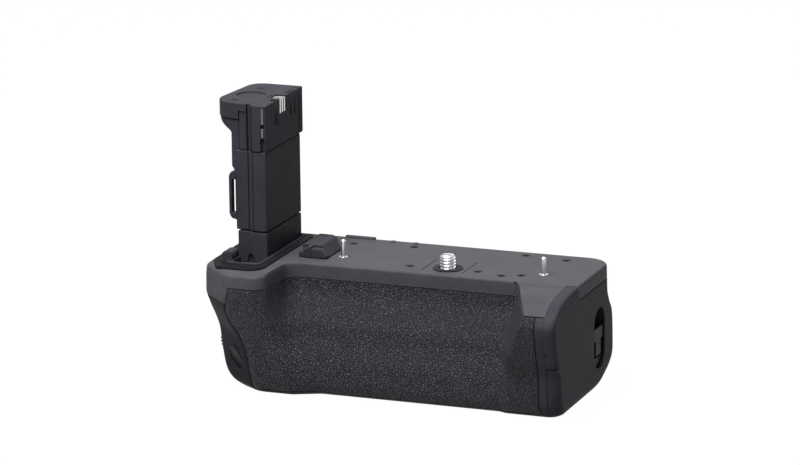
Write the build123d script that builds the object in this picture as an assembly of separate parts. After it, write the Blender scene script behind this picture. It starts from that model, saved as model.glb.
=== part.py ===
from build123d import *
import os
from math import cos, pi, sin, sqrt

# Battery grip for a camera, in millimetres. X runs along the grip, -Y is its leather front and +Z is up.
# The origin lies on the tripod screw's axis, in the plane of the deck that meets the camera's base.

# Casing
right_reach = 58.0
left_room = 28.6
rear_room = 9.2
bulge_front = 37.2
mid_front = 32.0
shoulder_front = 39.7
shoulder_length = 27.5
shoulder_top_length = 14.0
rear_left_radius = 12.0
panel_radius = 9.0
bulge_radius = 5.5
valley_radius = 6.0
front_right_radius = 3.6
rear_right_radius = 8.0
shoulder_round = 2.4
wall = 1.8
skin = 0.9
overrun = 15.0
body_gap = 0.3
running_gap = 0.05
split_y = 2.0
band_depth = 5.9
end_band_depth = 13.0
end_band_inset = 12.9
end_depth = 4.5
end_top_gap = 0.35

# Shapes of the casing, level by level from the deck down, as shares of the sizes above
level_shares = (0, 0.12, 0.225, 0.43, 0.53, 0.74, 0.88, 1)
left_shares = (0.985, 1, 1, 0.965, 0.95, 0.94, 0.915, 0.83)
panel_back_shares = (0.565, 0.578, 0.58, 0.59, 0.59, 0.59, 0.645, 0.70)
panel_side_shares = (0.86, 0.86, 0.86, 0.83, 0.79, 0.757, 0.742, 0.726)
bulge_shares = (0.90, 0.965, 0.985, 0.995, 1, 0.995, 0.975, 0.885)
wall_front_shares = (0.70, 0.695, 0.69, 0.674, 0.658, 0.61, 0.59, 0.58)
wall_back_shares = (0.68, 0.674, 0.663, 0.61, 0.59, 0.505, 0.474, 0.463)
mid_shares = (0.32, 0.325, 0.375, 0.75, 0.81, 0.98, 1, 0.875)
rear_shares = (0.86, 0.86, 0.86, 0.985, 1, 1, 0.95, 0.825)
right_shares = (0.995, 1, 1, 1, 1, 1, 1, 0.98)
shoulder_shares = (
    (0, 0), (0.33, 0), (0.63, 0.022), (0.856, 0.09), (0.972, 0.152), (1, 0.211), (0.972, 0.342),
    (0.93, 0.475), (0.856, 0.66), (0.814, 0.836), (0.755, 0.932), (0.69, 1), (0, 1))
step_shares = ((0, 0), (0.12, 0.28), (0.5, 0.61), (0.92, 0.88), (1, 1))
seam_shares = (
    (0.850, 0.121), (0.865, 0.303), (0.842, 0.406), (0.806, 0.488), (0.782, 0.578), (0.765, 0.686),
    (0.758, 0.795), (0.747, 0.957))
leather_strip = 3.5
leather_back = 8.0

# Deck, sub-frame and attachment drive
deck_tab_inset = 38.0
deck_tab_width = 13.0
deck_tab_height = 0.9
deck_tab_depth = 2.0
frame_thickness = 1.2
frame_top = 5.8
frame_left_inset = 33.0
frame_right_inset = 9.0
frame_front_inset = 2.64
frame_rear_inset = 2.8
post_radius = 1.5
tripod_radius = 3.175
tripod_height = 5.8
tripod_tip = 0.6
tripod_slot_width = 1.1
tripod_slot_depth = 1.3
journal_radius = 3.6
journal_top = 0.5
spindle_radius = 2.5
pivot_radius = 1.5
bush_radius = 6.0
bush_height = 0.4
gear_module = 1.0
screw_gear_teeth = 14
wheel_poke = 2.6
gear_top = 2.2
gear_thickness = 3.2
tooth_root_share = 0.52
tooth_tip_share = 0.26
tooth_foot_share = 1.15
wheel_pin_radius = 1.5
pin_radius = 1.0
pin_shank_radius = 1.3
pin_height = 7.5
pin_flange_radius = 1.9
pin_flange_height = 0.4
pin_left_inset = 49.0
pin_right = 39.6
pin_y = 2.7
socket_radius = 4.8
socket_flange_radius = 6.2
socket_flange_height = 0.8
socket_height = 7.8
socket_depth = 6.0

# Fasteners
deck_screw_shares = (
    (-0.806, 0.769), (-0.398, 0.861), (-0.253, -0.035), (0.265, -0.025), (0.49, -0.114), (0.641, -0.022),
    (0.467, 0.915), (0.837, 0.845))
deck_screw_radius = 1.0
deck_screw_head = 1.7
deck_screw_sink = 0.7
driver_width = 0.35
driver_reach = 1.1
driver_depth = 0.4
base_screw_shares = ((-0.674, -0.75), (-0.767, 0.5), (-0.295, -0.594), (0.31, -0.594), (0.741, -0.594))
base_screw_head = 1.9
base_screw_radius = 1.0
base_screw_length = 5.0
base_boss_radius = 2.2

# Underside
base_plate_thickness = 2.0
base_plate_inset = 3.5

# Battery bay, magazine and batteries
battery_length = 56.8
battery_width = 21.0
battery_height = 38.4
battery_round = 2.0
battery_gap = 0.2
tray_wall = 1.2
tray_floor = 0.8
tray_round = 1.5
tray_front = 7.0
bay_gap = 0.3
bay_wall_thickness = 1.2
bay_end_gap = 2.6
tray_side_drop = 5.0
terminal_width = 5.0
terminal_height = 3.0
terminal_thickness = 0.5
terminal_pitch = 8.0
terminal_count = 3

# Key on the end of the magazine
key_y = 17.5
key_slot_width = 11.6
key_slot_top = 17.0
key_slot_height = 23.5
key_slot_depth = 4.9
key_cup_wall = 1.5
key_lever_width = 10.4
key_lever_thickness = 3.2
key_finger_height = 7.0
key_sink = 0.5
key_arm_width = 6.0
key_arm_length = 5.6
key_pin_radius = 0.8
key_hub_radius = 5.2
key_hub_sink = 1.1

# Network port and its cover
flap_proud = 0.6
flap_wall = 1.7
flap_drop = 27.2
flap_start = 16.0
flap_reach = 35.0
flap_hinge_y = 5.0
flap_back_shares = (
    (0.686, 0.974), (0.406, 0.93), (0.16, 0.853), (0.043, 0.779), (0, 0.717), (0, 0.35), (0.043, 0.298))
knuckle_radius = 1.2
knuckle_top = 10.0
knuckle_length = 9.0
lug_thickness = 1.2
flap_pin_radius = 0.5
port_frame_thickness = 1.5
jack_y = 13.0
jack_width = 16.0
jack_height = 13.4
jack_depth = 13.0
jack_top = 7.6
jack_mouth_width = 11.8
jack_mouth_height = 8.0
jack_mouth_depth = 11.5
jack_mouth_drop = 2.2
latch_width = 6.0
latch_height = 1.8
wire_count = 8
wire_pitch = 1.02
wire_width = 0.4
wire_rise = 0.9
wire_length = 8.6
board_thickness = 1.6
lan_board_front = 33.0
transformer_length = 6.0
transformer_width = 9.0
transformer_height = 5.0
transformer_y = 28.0

# Main board
board_left_inset = 11.4
board_right_inset = 28.0
board_top = 9.0
board_height = 29.0
chip_shares = ((0.12, 0.3, 0.16, 0.34), (0.4, 0.55, 0.2, 0.4), (0.72, 0.3, 0.14, 0.3), (0.9, 0.6, 0.08, 0.5))
chip_height = 1.4

# Stalk that fills the camera's battery bay
stalk_inset = 20.8
stalk_width = 14.6
stalk_front = 9.0
stalk_depth = 37.5
stalk_key_width = 6.4
stalk_key_slope = 2.0
stalk_step = 1.6
stalk_base_height = 10.6
stalk_body_height = 33.3
stalk_joint_gap = 0.3
stalk_draft = 0.3
stalk_screw_radius = 1.0
stalk_screw_head = 1.9
stalk_screw_head_height = 1.2
stalk_screw_length = 5.0
stalk_screw_inset = 3.2

# Head of the stalk, with the contacts that the camera reads
head_height = 19.1
head_cap_height = 6.8
head_flare_height = 5.9
head_flare_shares = ((0.93, 0), (0.93, 0.14), (0.89, 0.42), (0.68, 0.8), (0.3, 0.97), (0, 1))
head_overhang = 10.4
head_rear_overhang = 2.5
head_front_taper = 2.8
head_left_taper = 3.7
head_round = 9.0
head_rear_round = 6.5
head_tongue_width = 12.6
head_groove_inset = 5.2
head_groove_width = 1.0
head_groove_depth = 0.8
head_strip_width = 2.1
head_pocket_depth = 1.2
head_pocket_height = 5.6
head_screw_shares = ((1.02, -0.049), (1.0, 0.754))
dimple_radius = 6.0
dimple_depth = 0.5
dimple_inset = 13.8
dimple_setback = 18.4
contact_slot_shares = ((0.292, 0.53, 2.6), (0.683, 0.51, 2.2), (0.78, 0.49, 1.8), (0.895, 0.93, 1.2))
contact_slot_depth = 2.4
contact_setback = 15.4
contact_span = 6.8
contact_drop = 6.8
contact_reach = 4.4
contact_count = 3
contact_width = 1.2
contact_thickness = 0.5

# Loop, collar and lug at the stalk
loop_rise = 4.0
loop_length = 18.6
loop_reach = 2.9
loop_bar = 1.3
loop_end = 2.4
loop_width = 3.0
spine_reach = 1.8
collar_height = 0.8
collar_left_margin = 3.2
collar_right_margin = 4.7
collar_rear_margin = 2.5
collar_front = 31.5
collar_round = 9.0
lug_block_width = 4.8
lug_block_length = 7.0
lug_block_height = 4.2
lug_block_shift = 10.4
lug_block_gap = 5.0

# Block that keeps the camera's battery door
hook_inset = 32.0
hook_width = 12.0
hook_slope = 3.4
hook_depth = 18.0
hook_height = 4.8
hook_bar_front = 3.0
hook_bar_depth = 3.5
hook_bar_height = 3.4
hook_bar_lead = 0.5
hook_rib_inset = 3.4
hook_rib_width = 1.6
hook_rib_rise = 1.0

# Shutter button on the left end
shutter_inset = 15.1
shutter_y = 29.8
shutter_drop = 36.0
shutter_lean = (-0.62, -0.72, -0.31)
shutter_radius = 4.2
shutter_ring_radius = 5.0
shutter_gap = 0.15
shutter_proud = 0.2
shutter_thickness = 1.6
shutter_stem_radius = 1.4
shutter_travel = 0.8
shutter_cup_depth = 5.4
shutter_cup_floor = 0.8
shutter_dish = 0.35
shutter_switch_radius = 2.2
shutter_switch_height = 1.0

# Main dial on the left end
dial_radius = 9.0
dial_inset = 4.1
dial_width = 6.0
dial_y = 17.0
dial_drop = 32.0
dial_axle_radius = 0.9
dial_knurls = 40
dial_knurl_depth = 0.5
knurl_shares = ((1, 0), (1, 0.4), (0, 0.5), (0, 0.9))
ear_thickness = 1.2
ear_height = 4.0
ear_gap = 0.3

# Function button on the left end
mfn_y = 6.0
mfn_drop = 30.0
mfn_radius = 2.4
mfn_inset = 4.4
mfn_depth = 3.6
press_travel = 0.5
button_gap = 0.25
switch_thickness = 1.4
switch_half = 2.2
panel_board_width = 11.0
panel_board_half = 7.0
panel_post_radius = 1.3

# Rear controls
rear_button_inset = 18.0
rear_button_drops = (23.5, 30.0, 36.5)
rear_button_radius = 2.5
rear_button_proud = 0.9
rear_button_depth = 3.7
rear_button_names = ("af_on_button", "ae_lock_button", "af_point_button")
rear_board_inset = 14.5
rear_board_length = 23.5
rear_board_top = 20.0
rear_board_height = 20.0
rear_board_depth = 6.4
rear_boss_radius = 1.6
rear_boss_shares = ((0.36, 0.12), (0.92, 0.9))
stick_inset = 29.5
stick_drop = 30.0
stick_cap_radius = 3.2
stick_cap_height = 2.2
stick_hole_radius = 4.5
stick_proud = 2.0
stick_rod_radius = 1.0
stick_pivot_depth = 3.3
gimbal_radius = 2.6
gimbal_bore = 1.4
gimbal_thickness = 1.5
trunnion_radius = 0.35
stick_base_half = 4.0
stick_base_height = 2.4
stick_well_radius = 3.1
quick_radius = 7.0
quick_proud = 1.6
quick_drop = 12.6
quick_width = 6.0
quick_axle_radius = 0.8
quick_knurls = 32
switch_lever_x = 20.0
switch_lever_drop = 31.0
switch_disc_radius = 5.0
switch_disc_height = 1.2
switch_axle_radius = 1.4
switch_collar_radius = 2.6
switch_collar_height = 0.8
switch_tab_length = 4.5
switch_tab_width = 3.0
switch_tab_height = 2.2
thumb_pad_inset = 37.0
thumb_pad_width = 24.0
thumb_pad_top = 21.5
thumb_pad_height = 22.5

# The body's length, height and depth follow from the two batteries in their tray
cup_back = right_reach - key_slot_depth - key_cup_wall
tray_left = cup_back - 2 * battery_length - 4 * battery_gap - 3 * tray_wall
tray_rear = tray_front + 2 * tray_wall + 2 * battery_gap + battery_width
left_reach = left_room - tray_left
rear_reach = tray_rear + rear_room
battery_stack = battery_height + tray_floor + 2 * bay_gap
body_height = frame_top + frame_thickness + battery_stack + base_plate_thickness

# Places along the body that follow from its two ends
shoulder_foot = right_reach - shoulder_length
shoulder_ridge = right_reach - shoulder_top_length
end_band_x = left_reach - end_band_inset
end_seam_x = right_reach - end_depth
leather_right = end_seam_x - leather_strip
deck_tab_left = left_reach - deck_tab_inset
frame_left = left_reach - frame_left_inset
frame_right = right_reach - frame_right_inset
frame_front = mid_front * mid_shares[0] - frame_front_inset
pin_left = left_reach - pin_left_inset
stalk_right = left_reach - stalk_inset
hook_left = left_reach - hook_inset
shutter_x = left_reach - shutter_inset
dial_reach = left_reach - dial_inset
mfn_reach = left_reach - mfn_inset
rear_button_x = left_reach - rear_button_inset
rear_board_left = left_reach - rear_board_inset
stick_x = left_reach - stick_inset
thumb_pad_left = left_reach - thumb_pad_inset
board_left = -tray_left - board_left_inset
board_length = right_reach - board_right_inset + board_left

# Places behind the rear wall that follow from it
rear_top_y = rear_reach * rear_shares[0]
frame_rear = rear_top_y - frame_rear_inset
quick_reach = rear_top_y + quick_proud
rear_button_reach = rear_reach + rear_button_proud
rear_board_y = rear_reach - rear_board_depth
stick_reach = rear_reach + stick_proud
stick_pivot_y = rear_reach - stick_pivot_depth

out = "parts"
os.makedirs(out, exist_ok=True)


def block(x0, x1, y0, y1, z0, z1):
    box = Box(x1 - x0, y1 - y0, z1 - z0, align=(Align.MIN, Align.MIN, Align.MIN))
    return Pos(x0, y0, z0) * box


def rod(start, direction, radius, length):
    plane = Plane(origin=start, z_dir=direction)
    return plane * Cylinder(radius, length, align=(Align.CENTER, Align.CENTER, Align.MIN))


def upright(x, y, z0, z1, radius):
    return rod((x, y, z0), (0, 0, 1), radius, z1 - z0)


def prism_x(outline, x0, x1):
    """Outline in (y, z), pulled from x0 to x1."""
    face = make_face(Polyline(*[(x0, y, z) for y, z in outline], close=True))
    return extrude(face, amount=x1 - x0, dir=(1, 0, 0))


def prism_y(outline, y0, y1):
    """Outline in (x, z), pulled from y0 to y1."""
    face = make_face(Polyline(*[(x, y0, z) for x, z in outline], close=True))
    return extrude(face, amount=y1 - y0, dir=(0, 1, 0))


def prism_z(outline, z0, z1):
    """Outline in (x, y), pulled from z0 to z1."""
    face = make_face(Polyline(*[(x, y, z0) for x, y in outline], close=True))
    return extrude(face, amount=z1 - z0, dir=(0, 0, 1))


def moved_in(corners, inset):
    """The same outline, drawn counter-clockwise, with every side moved inwards."""
    result = []
    for index, corner in enumerate(corners):
        here = Vector(*corner)
        ahead = (Vector(*corners[(index + 1) % len(corners)]) - here).normalized()
        behind = (here - Vector(*corners[index - 1])).normalized()
        normals = Vector(-ahead.Y, ahead.X) + Vector(-behind.Y, behind.X)
        spot = here + normals * (inset / (1 + ahead.dot(behind)))
        result.append((spot.X, spot.Y))
    return result


def level_corners(index):
    """Corners of the casing at one level, seen from above, without the right shoulder."""
    left = -left_reach * left_shares[index]
    right = right_reach * right_shares[index]
    rear = rear_reach * rear_shares[index]
    bulge = -bulge_front * bulge_shares[index]
    middle = -mid_front * mid_shares[index]
    return [
        (left, rear),
        (left, -bulge_front * panel_back_shares[index]),
        (-left_reach * panel_side_shares[index], bulge),
        (-left_reach * wall_front_shares[index], bulge),
        (-left_reach * wall_back_shares[index], middle),
        (right, middle),
        (right, rear)]


def casing(inset):
    """The whole casing as one solid, with its surface moved inwards by inset."""
    radii = [
        rear_left_radius - inset, panel_radius - inset, panel_radius - inset, bulge_radius - inset,
        valley_radius + inset, front_right_radius - inset, rear_right_radius - inset]
    sections = []
    for index, share in enumerate(level_shares):
        height = -body_height * share
        if index == 0:
            height -= inset
        if index == len(level_shares) - 1:
            height += inset
        outline = FilletPolyline(*moved_in(level_corners(index), inset), radius=radii, close=True)
        sections.append(Pos(0, 0, height) * make_face(outline))
    body = loft(sections, ruled=True)

    side = [(-shoulder_front * y, -body_height * z) for y, z in shoulder_shares]
    side = moved_in(side, inset)
    rounds = [0, 0] + [shoulder_round] * (len(side) - 4) + [0, 0]
    profile = FilletPolyline(
        *[(shoulder_foot - overrun, y, z) for y, z in side], radius=rounds, close=True)
    length = right_reach - inset - shoulder_foot + overrun
    shoulder = extrude(make_face(profile), amount=length, dir=(1, 0, 0))
    depth = -shoulder_front - overrun
    spread = shoulder_ridge - shoulder_foot
    step = [(shoulder_foot + spread * x, -shoulder_front * y) for x, y in step_shares]
    plan = step + [(shoulder_ridge, depth), (right_reach + overrun, depth), (right_reach + overrun, 0)]
    shoulder = shoulder & prism_z(moved_in(plan, inset), -body_height, 0)
    corner = right_reach - inset
    trim = block(0, corner, -shoulder_front + inset, rear_reach, -body_height, 0)
    uprights = trim.edges().filter_by(Axis.Z).sort_by(Axis.X)[-2:]
    trim = fillet(uprights.sort_by(Axis.Y)[:1], radius=front_right_radius - inset)
    return body + (shoulder & trim)


def gear(teeth, bore, z_low, thickness, turn):
    """Spur gear with straight-flanked teeth; turn is in tooth pitches."""
    pitch_radius = gear_module * teeth / 2
    root = pitch_radius - gear_module * tooth_foot_share
    tip = pitch_radius + gear_module
    flanks = (
        (root, -tooth_root_share), (tip, -tooth_tip_share), (tip, tooth_tip_share), (root, tooth_root_share))
    points = []
    for tooth in range(teeth):
        centre = 2 * pi * (tooth + turn) / teeth
        for radius, share in flanks:
            angle = centre + share * pi / teeth
            points.append((radius * cos(angle), radius * sin(angle)))
    wheel = prism_z(points, z_low, z_low + thickness)
    return wheel - upright(0, 0, z_low - thickness, z_low + 2 * thickness, bore)


def knurled(radius, width, count, depth, bore):
    """Dial with its axis on Z, centred on the origin."""
    points = []
    for knurl in range(count):
        for rise, share in knurl_shares:
            radial = radius - depth * rise
            angle = 2 * pi * (knurl + share) / count
            points.append((radial * cos(angle), radial * sin(angle)))
    return prism_z(points, -width / 2, width / 2) - upright(0, 0, -width, width, bore)


def cross_recess(x, y, low, high):
    """The driver recess cut in a screw head, between two heights."""
    half = driver_width / 2
    bar = block(x - driver_reach, x + driver_reach, y - half, y + half, low, high)
    return bar + block(x - half, x + half, y - driver_reach, y + driver_reach, low, high)


# Casing solids that every shell is cut from
outer = casing(0)
under_skin = casing(skin)
inner = casing(wall)

# Regions that the seams divide the casing into
far_left = -left_reach - overrun
far_right = right_reach + overrun
far_front = -shoulder_front - overrun
far_rear = rear_reach + overrun
far_low = -body_height - overrun
seam = [(-left_reach * x, -body_height * z) for x, z in seam_shares]
leather_zone = prism_y(
    seam + [(leather_right, seam[-1][1]), (leather_right, seam[0][1])], far_front, -leather_back)
panel_zone = prism_y(
    [(far_left, -end_band_depth), (-end_band_x, -end_band_depth)] + seam[1:]
    + [(seam[-1][0], far_low), (far_left, far_low)], far_front, split_y)
top_zone = (
    block(far_left, far_right, far_front, far_rear, -band_depth, overrun)
    + block(far_left, -end_band_x, far_front, far_rear, -end_band_depth, overrun))
front_zone = block(far_left, end_seam_x, far_front, split_y, far_low, -band_depth)
rear_zone = block(far_left, end_seam_x, split_y, far_rear, far_low, -band_depth)
end_zone = block(end_seam_x + body_gap, far_right, far_front, far_rear, far_low, -band_depth - end_top_gap)

# Outline of the port cover on the right end, in (y, z)
flap_edge = [(-flap_start, overrun), (far_front, overrun), (far_front, -flap_drop)]
flap_edge += [(-flap_hinge_y - flap_reach * y, -flap_drop * z) for y, z in flap_back_shares]
hinge_x = right_reach + flap_proud - knuckle_radius
lug_radius = knuckle_radius - body_gap / 2
hinge_back = -(flap_hinge_y - knuckle_radius - body_gap)
hinge_front = -(flap_hinge_y + knuckle_radius + body_gap)
hinge_high = -(knuckle_top - body_gap - lug_thickness - body_gap)
hinge_low = -(knuckle_top + knuckle_length + body_gap + lug_thickness + body_gap)
flap_zone = prism_x(flap_edge, end_seam_x + body_gap, far_right)
flap_hole = prism_x(moved_in(flap_edge, -body_gap), end_seam_x, far_right)
flap_hole += block(end_seam_x, far_right, hinge_front, hinge_back, hinge_low, hinge_high)

# Underside plate and the ledge that it drops into
plate_corners = moved_in(level_corners(len(level_shares) - 1), base_plate_inset)
plate_outline = FilletPolyline(*plate_corners, radius=base_plate_inset / 2, close=True)
plate_space = extrude(
    Pos(0, 0, -body_height) * make_face(plate_outline), amount=base_plate_thickness, dir=(0, 0, 1))
plate_space &= block(far_left, end_seam_x - base_plate_inset, far_front, far_rear, far_low, 0)
plate_top = -body_height + base_plate_thickness
base_screw_spots = [
    ((left_reach if x < 0 else right_reach) * x, mid_front * y) for x, y in base_screw_shares]

# Attachment drive: the wheel's axis lies behind the screw's
wheel_teeth = round((rear_top_y + wheel_poke) / gear_module - screw_gear_teeth / 2 - 1)
wheel_y = gear_module * (screw_gear_teeth + wheel_teeth) / 2
wheel_tip = gear_module * (wheel_teeth / 2 + 1)
wheel_slot_half = sqrt(wheel_tip ** 2 - (rear_top_y - wall - wheel_y) ** 2) + bay_gap
gear_low = -gear_top - gear_thickness
frame_low = -frame_top - frame_thickness
deck_screw_spots = [
    ((frame_left if x < 0 else frame_right) * x, frame_rear * y) for x, y in deck_screw_shares]

# Magazine, from its key cup inwards
tray_low = plate_top + bay_gap
tray_side_top = frame_low - tray_side_drop
bay_front = tray_front - bay_gap - bay_wall_thickness
bay_end = tray_left - bay_end_gap
terminal_z = (plate_top + frame_low) / 2

# Key on the magazine's end
key_slot_radius = key_slot_width / 2
key_axis_z = -key_slot_top - key_slot_height + key_slot_radius
key_axis_x = right_reach - key_sink - key_lever_thickness / 2

# Stalk and its head
stalk_left = stalk_right + stalk_width
stalk_rear = stalk_depth - stalk_front
stalk_step_right = stalk_right + stalk_key_width
stalk_step_left = stalk_step_right + stalk_key_slope
stalk_outline = [
    (-stalk_left, stalk_rear), (-stalk_left, -stalk_front + stalk_step),
    (-stalk_step_left, -stalk_front + stalk_step), (-stalk_step_right, -stalk_front),
    (-stalk_right, -stalk_front), (-stalk_right, stalk_rear)]
body_left = -stalk_left + stalk_draft
body_front = -stalk_front + stalk_step + stalk_draft
body_top = stalk_base_height + stalk_body_height
head_top = body_top + head_height
cap_bottom = head_top - head_cap_height
head_left = -stalk_left - head_overhang
head_rear = stalk_rear + head_rear_overhang
tongue_left = -stalk_right - head_tongue_width
head_outline = [
    (-stalk_right, -stalk_front), (-stalk_step_right, -stalk_front),
    (-stalk_step_left, -stalk_front + stalk_step),
    (head_left, -stalk_front + stalk_step + head_front_taper), (head_left + head_left_taper, head_rear),
    (-stalk_right, head_rear)]
loop_low = stalk_base_height + loop_rise
collar_left = -stalk_left - collar_left_margin
collar_right = -stalk_right + collar_right_margin
collar_rear = stalk_rear + collar_rear_margin

# Shutter button's axis
shutter_face = (-shutter_x, -shutter_y, -shutter_drop)
lean_length = sqrt(sum(n * n for n in shutter_lean))
shutter_normal = tuple(n / lean_length for n in shutter_lean)

# Dials, and the switches and boards behind the buttons
dial_x = -dial_reach + dial_radius
dial_half = dial_width / 2 + ear_gap
quick_y = quick_reach - quick_radius
quick_half = quick_width / 2 + ear_gap
panel_board_x = mfn_reach - mfn_depth - press_travel - body_gap - switch_thickness
rear_board_face = rear_board_y + board_thickness
rear_button_start = rear_button_reach - rear_button_depth
jack_face = end_seam_x - port_frame_thickness
board_face = bay_front - board_thickness

# Skins that are separate pieces
leather_skin = (outer - under_skin) & leather_zone
thumb_skin = (outer - under_skin) & block(
    -thumb_pad_left, -thumb_pad_left + thumb_pad_width, split_y, far_rear,
    -thumb_pad_top - thumb_pad_height, -thumb_pad_top)


def deck_screw_posts():
    posts = Part()
    for x, y in deck_screw_spots:
        posts += upright(x, y, -frame_top, -wall, post_radius)
    return posts


def deck_screw_holes():
    holes = Part()
    for x, y in deck_screw_spots:
        holes += upright(x, y, -frame_top - overrun, overrun, deck_screw_radius)
        holes += upright(x, y, -deck_screw_sink, overrun, deck_screw_head + running_gap)
    return holes


def base_screw_lugs(places):
    lugs = Part()
    for x, y in places:
        bore_top = plate_top + base_screw_length
        high = bore_top + base_screw_radius
        start_x = x - base_boss_radius if y < 0 else far_left
        start_y = far_front if y < 0 else y - base_boss_radius
        lug = block(start_x, x + base_boss_radius, start_y, y + base_boss_radius, plate_top, high)
        lugs += (lug & under_skin) - upright(x, y, far_low, bore_top, base_screw_radius)
    return lugs


def top_cover():
    cover = (outer & top_zone) - inner - flap_hole
    cover += block(
        -deck_tab_left, -deck_tab_left + deck_tab_width, rear_top_y - deck_tab_depth, rear_top_y, -wall,
        deck_tab_height)
    cover -= upright(0, 0, -overrun, overrun, bush_radius)
    cover -= deck_screw_holes()
    for x in (-pin_left, pin_right):
        cover -= upright(x, pin_y, -overrun, overrun, pin_shank_radius)
    for x, y in stalk_screw_spots():
        cover -= upright(x, y, -overrun, overrun, stalk_screw_radius)
    cover -= block(
        -wheel_slot_half, wheel_slot_half, wheel_y, far_rear, -band_depth, -gear_top + bay_gap)
    return cover


def stalk_screw_spots():
    inset = stalk_screw_inset
    return [
        (x, y) for x in (-stalk_left + inset, -stalk_right - inset)
        for y in (-stalk_front + stalk_step + inset, stalk_rear - inset)]


def sub_frame():
    plate = block(-frame_left, frame_right, -frame_front, frame_rear, frame_low, -frame_top)
    plate += deck_screw_posts()
    plate -= deck_screw_holes()
    plate -= upright(0, 0, -overrun, overrun, pivot_radius + running_gap)
    plate -= upright(0, wheel_y, -overrun, overrun, wheel_pin_radius)
    for x in (-pin_left, pin_right):
        plate -= upright(x, pin_y, -overrun, overrun, pin_shank_radius)
    return plate


def deck_screws():
    screws = []
    for x, y in deck_screw_spots:
        screw = upright(x, y, -frame_top, -deck_screw_sink, deck_screw_radius)
        screw += upright(x, y, -deck_screw_sink, -running_gap, deck_screw_head)
        screws.append(screw - cross_recess(x, y, -driver_depth, overrun))
    return Compound(children=screws)


def guide_pins():
    pins = []
    for x in (-pin_left, pin_right):
        pin = upright(x, pin_y, 0, pin_height - pin_radius / 2, pin_radius)
        pin += upright(x, pin_y, frame_low, 0, pin_shank_radius)
        pin += Pos(x, pin_y, pin_height - pin_radius / 2) * Cone(
            pin_radius, pin_radius / 2, pin_radius / 2, align=(Align.CENTER, Align.CENTER, Align.MIN))
        pins.append(pin + upright(x, pin_y, 0, pin_flange_height, pin_flange_radius))
    return Compound(children=pins)


def screw_bush():
    return upright(0, 0, -wall, bush_height, bush_radius) - upright(
        0, 0, -overrun, overrun, journal_radius + running_gap)


def attach_wheel():
    return Pos(0, wheel_y, 0) * gear(
        wheel_teeth, wheel_pin_radius + running_gap, gear_low, gear_thickness, 1 / 4)


def tripod_screw():
    screw = upright(0, 0, journal_top, tripod_height - tripod_tip, tripod_radius)
    screw += Pos(0, 0, tripod_height - tripod_tip) * Cone(
        tripod_radius, tripod_radius - tripod_tip, tripod_tip, align=(Align.CENTER, Align.CENTER, Align.MIN))
    screw += upright(0, 0, -gear_top, journal_top, journal_radius)
    screw += upright(0, 0, gear_low, -gear_top, spindle_radius)
    screw += upright(0, 0, frame_low, gear_low, pivot_radius)
    return screw - block(
        -overrun, overrun, -tripod_slot_width / 2, tripod_slot_width / 2,
        tripod_height - tripod_slot_depth, tripod_height + overrun)


def tripod_socket():
    socket = upright(0, 0, -body_height, -body_height + socket_height, socket_radius)
    socket += upright(0, 0, -body_height, -body_height + socket_flange_height, socket_flange_radius)
    return socket - upright(0, 0, -body_height - overrun, -body_height + socket_depth, tripod_radius)


def base_plate():
    plate = plate_space - upright(0, 0, far_low, 0, socket_radius)
    plate -= upright(0, 0, far_low, -body_height + socket_flange_height, socket_flange_radius)
    seat = -body_height + base_plate_thickness / 2
    for x, y in base_screw_spots:
        plate -= upright(x, y, far_low, 0, base_screw_radius)
        plate -= upright(x, y, far_low, seat, base_screw_head + running_gap)
    return plate


def base_screws():
    screws = []
    middle = -body_height + base_plate_thickness / 2
    for x, y in base_screw_spots:
        screw = upright(x, y, middle, plate_top + base_screw_length, base_screw_radius)
        screw += upright(x, y, -body_height + running_gap, middle, base_screw_head)
        screws.append(screw - cross_recess(x, y, far_low, -body_height + driver_depth))
    return Compound(children=screws)


def front_cover():
    cover = (outer & front_zone) - inner - panel_zone - leather_skin - plate_space
    cover -= top_zone
    return cover + base_screw_lugs([(x, y) for x, y in base_screw_spots if y < 0])


def rear_cover():
    cover = (outer & rear_zone) - inner - plate_space - thumb_skin
    cover -= top_zone
    cover += base_screw_lugs([(x, y) for x, y in base_screw_spots if y > 0])
    hole_radius = rear_button_radius + button_gap
    for drop in rear_button_drops:
        cover -= rod((-rear_button_x, rear_board_y, -drop), (0, 1, 0), hole_radius, overrun)
    cover -= rod((-stick_x, rear_board_y, -stick_drop), (0, 1, 0), stick_hole_radius, overrun)
    slot_start = (-rear_button_x - quick_half, quick_y, -quick_drop)
    cover -= rod(slot_start, (1, 0, 0), quick_radius + ear_gap, 2 * quick_half)
    for side in (-1, 1):
        middle = -rear_button_x + side * (quick_half + ear_thickness / 2)
        ear = block(
            middle - ear_thickness / 2, middle + ear_thickness / 2, quick_y - ear_height / 2, far_rear,
            -quick_drop - ear_height / 2, -quick_drop + ear_height / 2)
        cover += ear & under_skin
    cover -= quick_axle()
    lever_spot = (-switch_lever_x, rear_board_y, -switch_lever_drop)
    cover -= rod(lever_spot, (0, 1, 0), switch_axle_radius + running_gap, overrun)
    for along, down in rear_boss_shares:
        x = -rear_board_left + rear_board_length * along
        z = -rear_board_top - rear_board_height * down
        cover += rod((x, rear_board_face, z), (0, 1, 0), rear_boss_radius, overrun) & under_skin
    return cover


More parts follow.
